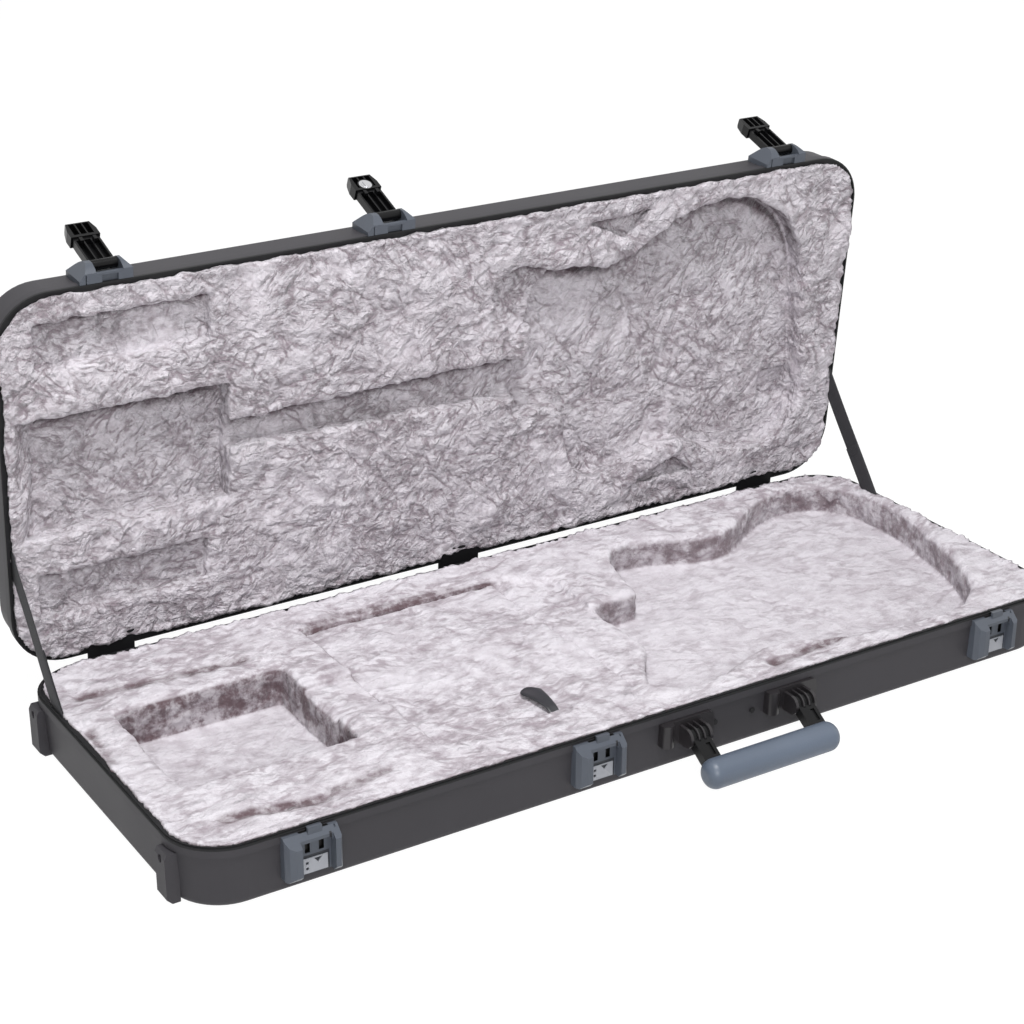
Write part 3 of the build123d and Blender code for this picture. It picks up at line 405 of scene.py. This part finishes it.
def ramp(tree, source, stops):
    """A colour ramp on a value, with (place, colour) stops."""
    node = add_node(tree, "ShaderNodeValToRGB")
    elements = node.color_ramp.elements
    while len(elements) < len(stops):
        elements.new(0.5)
    for element, (place, colour) in zip(elements, stops):
        element.position = place
        element.color = (*colour, 1)
    tree.links.new(source, node.inputs["Fac"])
    return node.outputs["Color"]


def object_point(tree):
    """Object coordinates in metres."""
    return add_node(tree, "ShaderNodeTexCoord").outputs["Object"]


def moulded(name, colour, roughness, grain, depth, spread=0.06, specular=0.5):
    """Moulded plastic: slightly uneven tone, grain bump of a given size in metres."""
    material, tree, shader = new_material(name, colour, roughness)
    place = object_point(tree)
    broad = noise(tree, place, 9.0, 5.0)
    low = tuple(c * (1 - spread) for c in colour)
    high = tuple(min(1, c * (1 + spread)) for c in colour)
    tree.links.new(ramp(tree, broad, ((0.3, low), (0.7, high))), shader.inputs["Base Color"])
    rough = add_node(tree, "ShaderNodeMapRange", inputs={
        "From Min": 0.3, "From Max": 0.7, "To Min": roughness - 0.04, "To Max": roughness + 0.05})
    tree.links.new(broad, rough.inputs["Value"])
    tree.links.new(rough.outputs["Result"], shader.inputs["Roughness"])
    bump = add_node(tree, "ShaderNodeBump", inputs={"Strength": 0.35, "Distance": depth})
    tree.links.new(noise(tree, place, 1 / grain, 2.0), bump.inputs["Height"])
    tree.links.new(bump.outputs["Normal"], shader.inputs["Normal"])
    shader.inputs["Specular IOR Level"].default_value = specular
    return material


def fold_set(tree, place, turn, period, wander, shift, cover):
    """One lie of straight folds across a direction: a triangle wave, and the patches where it shows."""
    mapping = add_node(tree, "ShaderNodeMapping", inputs={
        "Location": (shift, shift, shift), "Rotation": turn})
    tree.links.new(place, mapping.inputs["Vector"])
    wave = add_node(tree, "ShaderNodeTexWave", {"wave_profile": "TRI"}, {
        "Scale": 0.314 / period, "Distortion": wander, "Detail": 2.0, "Detail Scale": 0.55,
        "Detail Roughness": 0.55})
    tree.links.new(mapping.outputs["Vector"], wave.inputs["Vector"])
    shown = add_node(tree, "ShaderNodeMapRange", inputs={"From Min": cover, "From Max": cover + 0.12})
    tree.links.new(noise(tree, mapping.outputs["Vector"], 0.62 / period, 2.0), shown.inputs["Value"])
    return wave.outputs["Fac"], shown.outputs["Result"]


def band(tree, value, start, end):
    """Smooth share of a value between two ends: 0 at the start and 1 at the end."""
    node = add_node(tree, "ShaderNodeMapRange", {"interpolation_type": "SMOOTHSTEP"},
                    {"From Min": min(start, end), "From Max": max(start, end),
                     "To Min": 0.0 if start < end else 1.0, "To Max": 1.0 if start < end else 0.0})
    tree.links.new(value, node.inputs["Value"])
    return node.outputs["Result"]


def multiply(tree, first, second):
    """Product of two values; the second may be a number."""
    return combine(tree, "MULTIPLY", first, second)


def combine(tree, operation, first, second):
    """A maths node on two values; the first may be None, for 1, and the second a number."""
    node = add_node(tree, "ShaderNodeMath", {"operation": operation})
    if first is None:
        node.inputs[0].default_value = 1.0
    else:
        tree.links.new(first, node.inputs[0])
    if isinstance(second, (int, float)):
        node.inputs[1].default_value = second
    else:
        tree.links.new(second, node.inputs[1])
    return node.outputs["Value"]


def tinted(tree, base, amount, colour):
    """Mix a colour over another by an amount."""
    node = add_node(tree, "ShaderNodeMix", {"data_type": "RGBA", "clamp_factor": True})
    tree.links.new(amount, node.inputs["Factor"])
    tree.links.new(base, node.inputs["A"])
    node.inputs["B"].default_value = (*colour, 1)
    return node.outputs["Result"]


def attribute(tree, name):
    """A value stored on the mesh."""
    return add_node(tree, "ShaderNodeAttribute", {"attribute_name": name}).outputs["Fac"]


def crushed(tree, place, scale, turn, stretch, shift):
    """Crushed pile with one lie: sharp ridges of about 0 to 2, and the patches where they show."""
    mapping = add_node(tree, "ShaderNodeMapping", {"vector_type": "TEXTURE"}, {
        "Location": (shift, shift, shift), "Rotation": turn, "Scale": (stretch, 1.0, 1.0)})
    tree.links.new(place, mapping.inputs["Vector"])
    pile = add_node(tree, "ShaderNodeTexNoise", {"noise_type": "RIDGED_MULTIFRACTAL"}, {
        "Scale": scale, "Detail": 4.0, "Roughness": 0.55, "Lacunarity": 2.1, "Offset": 1.0, "Gain": 1.6,
        "Distortion": 0.25})
    tree.links.new(mapping.outputs["Vector"], pile.inputs["Vector"])
    shown = add_node(tree, "ShaderNodeMapRange", inputs={"From Min": 0.42, "From Max": 0.56})
    tree.links.new(noise(tree, mapping.outputs["Vector"], 0.28 * scale, 2.0), shown.inputs["Value"])
    return pile.outputs["Fac"], shown.outputs["Result"]


def plush_material(name, tones, folds, cover, crumples, shares, relief, clump_scale):
    """Silvery lilac crushed plush: clumps, painted shade in creases, painted highlight on ridges, and
    painted shade on walls, in hollows and under ledges.

    Folds are (turn, period, wander). Crumples are (scale, turn, stretch, gain), and those with a gain
    below 0 are creases, with painted shade. Shares are of painted ridge highlight, painted crease shade,
    painted crumple crease shade, brushed streaks, calm floors and mottling.
    """
    # Pale is the plush's own pale tone and also painted highlight, dark its own dark tone and also painted
    # crease shade, deep only painted shade
    pale, mid, dark, deep = tones
    calm_tone = tuple(0.45 * high + 0.55 * low for high, low in zip(pale, mid))
    ridge_highlight_share, crease_shade_share, crumple_shade_share, streak_share, calm_share, mottle = shares
    material, tree, shader = new_material(name, mid, 0.9)
    place = object_point(tree)
    clump = noise(tree, place, clump_scale, 7.0, 0.68)
    low = tuple(mottle * shade + (1 - mottle) * plain for shade, plain in zip(dark, mid))
    colour = ramp(tree, clump, ((0.33, low), (0.46, mid), (0.58, pale)))
    broad = noise(tree, place, 13.0, 3.0)
    colour = tinted(tree, colour, multiply(tree, band(tree, broad, 0.46, 0.30), 0.6), mid)
    colour = tinted(tree, colour, multiply(tree, band(tree, broad, 0.52, 0.68), 0.7), pale)
    ruffled = combine(tree, "SUBTRACT", None, multiply(tree, attribute(tree, "calm"), calm_share))
    ridges = creases = relief_sum = None
    # The folds give relief, painted highlight on their ridges and painted shade in their creases
    for index, (turn, period, wander) in enumerate(folds):
        wave, shown = fold_set(tree, place, turn, period, wander, 0.37 * index, cover)
        shown = multiply(tree, shown, ruffled)
        ridge = multiply(tree, band(tree, wave, 0.72, 1.0), shown)
        crease = multiply(tree, band(tree, wave, 0.17, 0.0), shown)
        height = multiply(tree, multiply(tree, wave, shown), period / 0.016)
        ridges = ridge if ridges is None else combine(tree, "MAXIMUM", ridges, ridge)
        creases = crease if creases is None else combine(tree, "MAXIMUM", creases, crease)
        relief_sum = height if relief_sum is None else combine(tree, "ADD", relief_sum, height)
    creases = multiply(tree, creases, crease_shade_share)
    # Crumples give relief too; those with a gain above 0 add painted highlight lines, the others painted
    # crease shade
    for index, (scale, turn, stretch, gain) in enumerate(crumples):
        lie, shown = crushed(tree, place, scale, turn, stretch, 0.53 * index)
        shown = multiply(tree, shown, ruffled)
        line = multiply(tree, band(tree, lie, 1.25, 1.85), shown)
        if gain > 0:
            ridges = combine(tree, "MAXIMUM", ridges, line)
        else:
            creases = combine(tree, "MAXIMUM", creases, multiply(tree, line, crumple_shade_share))
        relief_sum = combine(tree, "ADD", relief_sum, multiply(tree, multiply(tree, lie, shown), gain))
    colour = tinted(tree, colour, multiply(tree, attribute(tree, "calm"), 1.2 * calm_share), calm_tone)
    # Painted highlight on the tops of the mesh's folds and on the ridges
    fold_highlight = multiply(tree, band(tree, attribute(tree, "fold"), 0.25, 1.1), 0.5)
    colour = tinted(tree, colour, fold_highlight, pale)
    colour = tinted(tree, colour, multiply(tree, ridges, ridge_highlight_share), pale)
    drawn_out = add_node(tree, "ShaderNodeMapping", inputs={
        "Rotation": (0.1, 0.2, 0.15), "Scale": (0.42, 1.0, 1.0)})
    tree.links.new(place, drawn_out.inputs["Vector"])
    streak = noise(tree, drawn_out.outputs["Vector"], 120.0, 5.0, 0.6)
    where = noise(tree, place, 22.0, 3.0)
    brushed = multiply(tree, band(tree, streak, 0.50, 0.62),
                       multiply(tree, band(tree, where, 0.48, 0.60), ruffled))
    colour = tinted(tree, colour, multiply(tree, brushed, streak_share), dark)
    # Painted shade in the creases
    colour = tinted(tree, colour, creases, dark)
    # Painted shade in hollows, on walls and under ledges, broken up by the tufts
    tufted = combine(tree, "ADD", multiply(tree, band(tree, clump, 0.62, 0.38), 0.6), 0.38)
    for label, start, end in (("hollow_shade", 0.2, 1.9), ("wall_shade", 0.2, 0.8), ("shade", 0.0, 1.0)):
        share = multiply(tree, band(tree, attribute(tree, label), start, end), tufted)
        colour = tinted(tree, colour, share, deep)
    # A darker painted contact shadow close under the ledges
    contact_shadow = multiply(tree, band(tree, attribute(tree, "shade"), 0.75, 1.0), 0.75)
    colour = tinted(tree, colour, contact_shadow, tuple(0.45 * value for value in deep))
    tree.links.new(colour, shader.inputs["Base Color"])
    fine_bump = add_node(tree, "ShaderNodeBump", inputs={"Strength": 0.45, "Distance": 0.8 * MM})
    tree.links.new(noise(tree, place, 620.0, 2.0), fine_bump.inputs["Height"])
    relief_sum = combine(tree, "ADD", relief_sum, multiply(tree, clump, 2.6))
    fold_bump = add_node(tree, "ShaderNodeBump", inputs={"Strength": 1.0, "Distance": relief})
    tree.links.new(relief_sum, fold_bump.inputs["Height"])
    tree.links.new(fine_bump.outputs["Normal"], fold_bump.inputs["Normal"])
    tree.links.new(fold_bump.outputs["Normal"], shader.inputs["Normal"])
    shader.inputs["Sheen Weight"].default_value = 0.3
    shader.inputs["Sheen Roughness"].default_value = 0.5
    shader.inputs["Sheen Tint"].default_value = (0.95, 0.93, 0.97, 1)
    shader.inputs["Specular IOR Level"].default_value = 0.1
    return material


def webbing_material():
    """Black woven webbing."""
    material, tree, shader = new_material("black_webbing", (0.022, 0.022, 0.025), 0.75)
    place = object_point(tree)
    weave = add_node(tree, "ShaderNodeTexWave", {"bands_direction": "DIAGONAL"},
                     {"Scale": 380.0, "Distortion": 0.4})
    tree.links.new(place, weave.inputs["Vector"])
    threads = ramp(tree, weave.outputs["Fac"], ((0.2, (0.012, 0.012, 0.014)), (0.8, (0.045, 0.045, 0.05))))
    tree.links.new(threads, shader.inputs["Base Color"])
    bump = add_node(tree, "ShaderNodeBump", inputs={"Strength": 0.5, "Distance": 0.5 * MM})
    tree.links.new(weave.outputs["Fac"], bump.inputs["Height"])
    tree.links.new(bump.outputs["Normal"], shader.inputs["Normal"])
    return material


def metal(name, colour, roughness):
    """Plain or chromed metal with faint brushing."""
    material, tree, shader = new_material(name, colour, roughness)
    shader.inputs["Metallic"].default_value = 1.0
    rough = add_node(tree, "ShaderNodeMapRange", inputs={
        "To Min": roughness * 0.8, "To Max": roughness * 1.3})
    tree.links.new(noise(tree, object_point(tree), 900.0, 2.0), rough.inputs["Value"])
    tree.links.new(rough.outputs["Result"], shader.inputs["Roughness"])
    return material


# Plush tones: pale (also painted highlight), mid, dark (also painted crease shade), deep (painted shade
# only)
PLUSH_TONES = {
    "base": ((0.74, 0.71, 0.755), (0.57, 0.53, 0.572), (0.25, 0.195, 0.225), (0.120, 0.078, 0.088)),
    "lid": ((0.83, 0.785, 0.84), (0.68, 0.63, 0.68), (0.24, 0.18, 0.21), (0.115, 0.075, 0.09)),
}
base_folds = (((0.2, 0.1, 1.35), 0.019, 4.5), ((0.1, 0.3, 1.75), 0.013, 5.5),
              ((0.3, 0.2, 1.05), 0.024, 5.0))
lid_folds = (((0.1, 0.35, 0.2), 0.0150, 3.0), ((0.2, 1.00, 0.1), 0.0190, 2.5),
             ((0.1, 1.60, 0.3), 0.0125, 3.5), ((0.3, 2.15, 0.1), 0.0170, 2.5),
             ((0.1, 2.75, 0.2), 0.0225, 3.0))
base_crush = ((64.0, (0.1, 0.1, 0.3), 2.0, 0.6), (36.0, (0.2, 0.1, 0.15), 2.2, -0.5),
              (42.0, (0.1, 0.2, 2.6), 1.8, -0.5))
lid_crush = ((95.0, (0.1, 0.55, 0.2), 1.9, 0.9), (82.0, (0.2, 2.45, 0.1), 1.9, 0.9),
             (90.0, (0.1, 0.05, 0.3), 1.9, 0.9), (60.0, (0.2, 0.80, 0.1), 2.1, -1.0),
             (76.0, (0.1, 2.30, 0.2), 2.1, -1.0), (66.0, (0.1, 0.15, 0.1), 2.1, -1.0))
base_plush = plush_material("plush_base", PLUSH_TONES["base"], base_folds, 0.57, base_crush,
                            (0.35, 0.25, 0.6, 0.45, 0.35, 0.5), 1.7 * MM, 52.0)
lid_plush = plush_material("plush_lid", PLUSH_TONES["lid"], lid_folds, 0.58, lid_crush,
                           (0.6, 0.6, 0.75, 0.25, 0.0, 0.4), 3.0 * MM, 80.0)

# The latch housings' look, shared by the receptacles with painted shade, and one material per slot
HOUSING_LOOK = ((0.078, 0.088, 0.108), 0.36, 0.0007, 0.0001, 0.06, 0.3)
materials = {
    "shell": moulded("shell", (0.043, 0.041, 0.046), 0.52, 0.0009, 0.00012, specular=0.22),
    "black_trim": moulded("black_trim", (0.008, 0.008, 0.009), 0.55, 0.0012, 0.0001, specular=0.3),
    "plush": base_plush,
    "black_webbing": webbing_material(),
    "latch_housing": moulded("latch_housing", *HOUSING_LOOK),
    "lever_black": moulded("lever_black", (0.004, 0.004, 0.0045), 0.30, 0.0015, 0.00012, specular=0.2),
    "pale_catch": moulded("catch", (0.30, 0.31, 0.34), 0.3, 0.0016, 0.0002),
    "dark_bracket": moulded("dark_bracket", (0.022, 0.020, 0.022), 0.30, 0.0009, 0.0001, specular=0.4),
    "grip": moulded("grip", (0.088, 0.110, 0.148), 0.40, 0.0022, 0.00035, spread=0.12),
    "black_metal": moulded("black_metal", (0.008, 0.008, 0.009), 0.40, 0.0012, 0.00008, specular=0.3),
    "steel": metal("steel", (0.55, 0.55, 0.56), 0.35),
    "chrome_lock": metal("chrome_lock", (0.62, 0.62, 0.64), 0.16),
}

slot_of = {entry["node"]: entry["material_slot"] for entry in frame["record"]["subparts"]}
for node, obj in frame["nodes"].items():
    obj.data.materials.clear()
    obj.data.materials.append(materials[slot_of[node]])
    bevel = obj.modifiers.new("edges", "BEVEL")
    bevel.width = 0.45 * MM
    bevel.segments = 2
    bevel.limit_method = "ANGLE"
    bevel.angle_limit = math.radians(40)
    bevel.harden_normals = False


# Latch receptacles: painted shade on the channel's floor and its far cheek, and near black painted shade in
# the prong slots

def depth_shade(node, name, look, patches):
    """Give a node its own moulded material, with painted shade inside boxes given as (low, high, colour).
    """
    material = moulded(name, *look)
    tree = material.node_tree
    shader = tree.nodes["Principled BSDF"]
    colour = shader.inputs["Base Color"].links[0].from_socket
    axes = add_node(tree, "ShaderNodeSeparateXYZ")
    tree.links.new(object_point(tree), axes.inputs["Vector"])
    for low, high, tint in patches:
        amount = None
        for axis, start, end in zip("XYZ", low, high):
            off = combine(tree, "SUBTRACT", axes.outputs[axis], (start + end) / 2)
            off = combine(tree, "ABSOLUTE", off, 0.0)
            half = (end - start) / 2
            share = band(tree, off, half + 0.3 * MM, half - 0.3 * MM)
            amount = share if amount is None else multiply(tree, amount, share)
        colour = tinted(tree, colour, amount, tint)
    tree.links.new(colour, shader.inputs["Base Color"])
    frame["nodes"][node].data.materials[0] = material


for place in ("left", "centre", "right"):
    low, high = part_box("latch_receptacle_" + place)
    catch_low, catch_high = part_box("latch_catch_" + place)
    middle = (catch_low.x + catch_high.x) / 2
    floor_y = catch_high.y
    half = 15.4 * MM
    channel_shade = ((middle - half, low.y + 3 * MM, low.z),
               (middle + half, high.y, catch_high.z + 3 * MM), (0.030, 0.033, 0.040))
    cheek_shade = ((middle + half - 2 * MM, low.y + 2 * MM, low.z),
             (middle + half + 0.4 * MM, floor_y, high.z - 9 * MM), (0.018, 0.018, 0.021))
    slot_shade = ((middle - half, floor_y + 0.8 * MM, low.z),
             (middle + half, high.y, high.z), (0.002, 0.002, 0.002))
    depth_shade("latch_receptacle_" + place, "latch_slot_shade_" + place, HOUSING_LOOK, (channel_shade, cheek_shade, slot_shade))

# Liners and the padded board; grooves are (ends in plan, half width, depth, amount of painted shade), the
# first three in millimetres

base_grooves = (
    (((-483, -158), (-430, -168)), 8.0, 3.5, 2.6),
    (((-430, -168), (-386, -172)), 7.0, 4.0, 3.0),
    (((-375, -165), (-310, -160)), 9.0, 2.0, 1.5),
    (((150, -178), (262, -167)), 7.5, 3.0, 2.4),
    (((68, -84), (40, -118)), 5.0, 5.0, 3.0),
    (((66, -92), (108, -131)), 2.8, 1.8, 1.6),
    (((-507, 134), (-330, 124)), 9.0, 2.5, 2.0),
    (((-228, 163), (-60, 161)), 7.0, 2.5, 1.8),
    (((-60, 161), (0, 150)), 6.0, 1.5, 1.0),
    (((-536, -10), (-530, 60)), 9.0, 1.5, 1.8),
    (((-243, 157), (-200, 157)), 3.0, 1.6, 1.3),
    (((-160, 157), (-90, 157)), 2.6, 1.2, 1.0),
    (((-244, 60), (-243, 157)), 2.8, 1.4, 1.2),
    (((-244, -120), (-243, -60)), 2.6, 1.2, 1.0),
    (((-230, -143), (-150, -143)), 2.8, 1.4, 1.1),
)
for node, in_lid, rounds, fold, sizes, overhang, grooves, seed in (
    ("base_liner", False, 18, 1.8 * MM, (40, 29, 22), (2.8, 6.0, 0.6, 5.0), base_grooves, 11),
    ("lid_liner", True, 2, 2.6 * MM, (46, 33, 26, 19), (2.4, 2.4, 2.4, 2.4), (), 23),
    ("compartment_lid", False, 4, 1.8 * MM, (40, 29, 22), (0, 0, 0, 0), (), 11),
):
    skin = plush_piece(node, in_lid, rounds, fold, sizes, overhang, grooves, seed)
    skin.data.materials.clear()
    skin.data.materials.append(lid_plush if in_lid else base_plush)
    if node != "compartment_lid":
        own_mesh(skin)


# Stay straps: doubled webbing from the base, single above its sewn end

def strap_piece(side, sign):
    """Taut webbing between the two rims; its lower run is doubled and ends in a bar of stitches."""
    low = sum(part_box("strap_rivets_base"), Vector()) / 2
    high = sum(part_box("strap_rivets_lid"), Vector()) / 2
    x = sum(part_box("strap_" + side), Vector())[0] / 2
    up = Vector((0, high.y - low.y, high.z - low.z))
    span = up.length
    up.normalize()
    across = Vector((0, -up.z, up.y))
    ring = []
    for corner in range(16):
        turn = 2 * math.pi * (corner + 0.5) / 16
        wide = math.copysign(STRAP_HALF_WIDTH * abs(math.cos(turn)) ** 0.35, math.cos(turn))
        ring.append((wide, 0.85 * math.sin(turn)))
    work = bmesh.new()

    def loft(start, end, steps, shift, grow):
        """Webbing between two heights along the strap."""
        rows = []
        for step in range(steps + 1):
            height = start + (end - start) * step / steps
            sway = 0.25 * math.sin(height / 23.0)
            tip = 0.72 if step in (0, steps) else 1.0
            centre = Vector((x, low.y, low.z)) + up * height * MM
            rows.append([work.verts.new(centre + across * (wide * grow * MM)
                                        + Vector((sign * (thick * tip + shift + sway) * MM, 0, 0)))
                         for wide, thick in ring])
        for lower, upper in itertools.pairwise(rows):
            for i in range(len(ring)):
                work.faces.new((lower[i - 1], lower[i], upper[i], upper[i - 1]))
        work.faces.new(rows[0])
        work.faces.new(reversed(rows[-1]))

    length = span / MM
    loft(-STRAP_RUN_ON, length + STRAP_RUN_ON, 44, 0.0, 1.0)
    loft(-STRAP_RUN_ON, STRAP_DOUBLED * length, 20, -1.5, 0.97)
    for row in range(2):
        for stitch in range(7):
            wide = -9.0 + 3.0 * stitch
            foot = STRAP_DOUBLED * length - 4.0 - 7.0 * row
            place = Vector((x, low.y, low.z)) + up * foot * MM + across * wide * MM
            place.x += sign * -2.5 * MM
            ball = bmesh.ops.create_icosphere(work, subdivisions=1, radius=0.5 * MM)
            for vert in ball["verts"]:
                vert.co = (place + across * (2.2 * vert.co.y) + up * vert.co.z
                           + Vector((0.6 * vert.co.x, 0, 0)))
    bmesh.ops.recalc_face_normals(work, faces=work.faces)
    mesh = bpy.data.meshes.new("strap_webbing_" + side)
    work.to_mesh(mesh)
    work.free()
    mesh.polygons.foreach_set("use_smooth", [True] * len(mesh.polygons))
    mesh.materials.append(materials["black_webbing"])
    piece = link(bpy.data.objects.new(mesh.name, mesh))
    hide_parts("strap_" + side)
    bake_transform(piece)
    return piece


strap_piece("left", -1)
strap_piece("right", 1)


# Pull tab: a rounded tongue that comes narrow out of the board's front edge

def tab_piece():
    """The board's pull tab, thicker at its sewn edges and arched over the plush."""
    low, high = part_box("pull_tab")
    middle = (low.x + high.x) / 2
    length = high.y - low.y
    rows = 26
    columns = 11
    work = bmesh.new()
    layers = []
    for lift in (0.0, 2.2 * MM):
        grid = []
        for row in range(rows + 1):
            share = row / rows
            half = (TAB_ROOT + TAB_SPREAD * min(1.0, 1.25 * share) ** 1.3) * MM
            end = max(0.0, (share - 0.8) / 0.2)
            half *= math.sqrt(max(0.02, 1 - end * end))
            line = []
            for column in range(columns):
                across = 2 * column / (columns - 1) - 1
                hump = 2.6 * math.sin(math.pi * min(1.0, 1.1 * share))
                hump -= 2.4 * max(0.0, 0.12 - share) / 0.12
                cup = 0.9 * across * across
                thick = lift * (1 - 0.55 * abs(across) ** 6) if lift else 0.0
                line.append(work.verts.new((middle + across * half, low.y + share * length,
                                            high.z + (TAB_LIFT + hump + cup) * MM + thick)))
            grid.append(line)
        layers.append(grid)
    bottom, top = layers
    for row in range(rows):
        for column in range(columns - 1):
            for grid, order in ((top, 1), (bottom, -1)):
                work.faces.new((grid[row][column], grid[row][column + 1], grid[row + 1][column + 1],
                                grid[row + 1][column])[::order])
    loop = [(0, c) for c in range(columns)] + [(r, columns - 1) for r in range(1, rows + 1)]
    loop += [(rows, c) for c in range(columns - 2, -1, -1)] + [(r, 0) for r in range(rows - 1, 0, -1)]
    for (row_a, col_a), (row_b, col_b) in zip(loop, loop[1:] + loop[:1]):
        work.faces.new((bottom[row_a][col_a], bottom[row_b][col_b], top[row_b][col_b], top[row_a][col_a]))
    bmesh.ops.recalc_face_normals(work, faces=work.faces)
    mesh = bpy.data.meshes.new("pull_tab_tongue")
    work.to_mesh(mesh)
    work.free()
    mesh.polygons.foreach_set("use_smooth", [True] * len(mesh.polygons))
    mesh.materials.append(moulded("tab", (0.02, 0.021, 0.025), 0.38, 0.0012, 0.0002))
    piece = link(bpy.data.objects.new(mesh.name, mesh))
    edges = piece.modifiers.new("edges", "BEVEL")
    edges.width = 0.5 * MM
    edges.segments = 2
    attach(piece, "compartment")
    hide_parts("pull_tab")
    return piece


tab_piece()


# Stage, lights and camera

def area_light(name, place, target, size, power, colour=(1, 1, 1)):
    """A square soft light aimed at a point."""
    lamp = bpy.data.lights.new(name, "AREA")
    lamp.size = size
    lamp.energy = power
    lamp.color = colour
    obj = link(bpy.data.objects.new(name, lamp))
    obj.location = place
    way = Vector(target) - Vector(place)
    obj.rotation_euler = way.to_track_quat("-Z", "Y").to_euler()
    return obj


def white_backdrop(tree, strength):
    """A share that is the strength for camera, glossy and transmission rays, and 0 for other light."""
    path = add_node(tree, "ShaderNodeLightPath").outputs
    seen = combine(tree, "MAXIMUM", path["Is Camera Ray"], path["Is Glossy Ray"])
    seen = combine(tree, "MAXIMUM", seen, path["Is Transmission Ray"])
    return multiply(tree, seen, strength)


floor_mesh = bpy.data.meshes.new("floor")
corners = [(x * FLOOR_HALF, y * FLOOR_HALF, 0) for x, y in ((-1, -1), (1, -1), (1, 1), (-1, 1))]
floor_mesh.from_pydata(corners, [], [(0, 1, 2, 3)])
floor = link(bpy.data.objects.new("floor", floor_mesh))
floor.location.z = -0.0005
floor_material, floor_tree, floor_shader = new_material("floor", (0.8, 0.8, 0.8), 0.9)
white = add_node(floor_tree, "ShaderNodeEmission", inputs={
    "Color": (1, 1, 1, 1), "Strength": FLOOR_WHITE})
floor_mix = add_node(floor_tree, "ShaderNodeMixShader")
floor_tree.links.new(white_backdrop(floor_tree, 0.85), floor_mix.inputs["Fac"])
floor_tree.links.new(floor_shader.outputs["BSDF"], floor_mix.inputs[1])
floor_tree.links.new(white.outputs["Emission"], floor_mix.inputs[2])
floor_tree.links.new(floor_mix.outputs["Shader"], floor_tree.nodes["Material Output"].inputs["Surface"])
floor_mesh.materials.append(floor_material)

world = bpy.data.worlds.new("studio")
bpy.context.scene.world = world
world.use_nodes = True
world_tree = world.node_tree
background = world_tree.nodes["Background"]
background.inputs["Color"].default_value = (1, 1, 1, 1)
plain = white_backdrop(world_tree, 1.0)
level = add_node(world_tree, "ShaderNodeMapRange", inputs={"To Min": FILL_LIGHT, "To Max": 1.0})
world_tree.links.new(plain, level.inputs["Value"])
world_tree.links.new(level.outputs["Result"], background.inputs["Strength"])

area_light("key", (-0.45, -0.75, 2.9), (0, 0.05, 0.15), 0.9, 68)
area_light("front", (-1.5, -2.6, 1.7), (0, 0, 0.27), 1.3, 50)
area_light("side", (2.4, -0.8, 1.4), (0.2, 0, 0.2), 1.6, 10)

camera_data = bpy.data.cameras.new("camera")
camera = link(bpy.data.objects.new("camera", camera_data))
camera_data.sensor_width = 36.0
camera_data.lens = FOCAL_PIXELS / PHOTO_SIZE * camera_data.sensor_width
camera_data.shift_x = (PHOTO_SIZE / 2 - CENTRE_PIXEL[0]) / PHOTO_SIZE
camera_data.shift_y = (CENTRE_PIXEL[1] - PHOTO_SIZE / 2) / PHOTO_SIZE
camera_data.clip_end = 60.0
ahead = Vector((math.sin(CAMERA_YAW) * math.cos(CAMERA_PITCH),
                math.cos(CAMERA_YAW) * math.cos(CAMERA_PITCH), -math.sin(CAMERA_PITCH)))
level_right = Vector((math.cos(CAMERA_YAW), -math.sin(CAMERA_YAW), 0))
level_up = level_right.cross(ahead)
camera_right = math.cos(CAMERA_ROLL) * level_right + math.sin(CAMERA_ROLL) * level_up
camera_up = camera_right.cross(ahead)
camera.matrix_world = Matrix.Translation(CAMERA_PLACE) @ Matrix((
    (camera_right.x, camera_up.x, -ahead.x),
    (camera_right.y, camera_up.y, -ahead.y),
    (camera_right.z, camera_up.z, -ahead.z),
)).to_4x4()
bpy.context.scene.camera = camera
bpy.context.scene.view_settings.view_transform = "Standard"
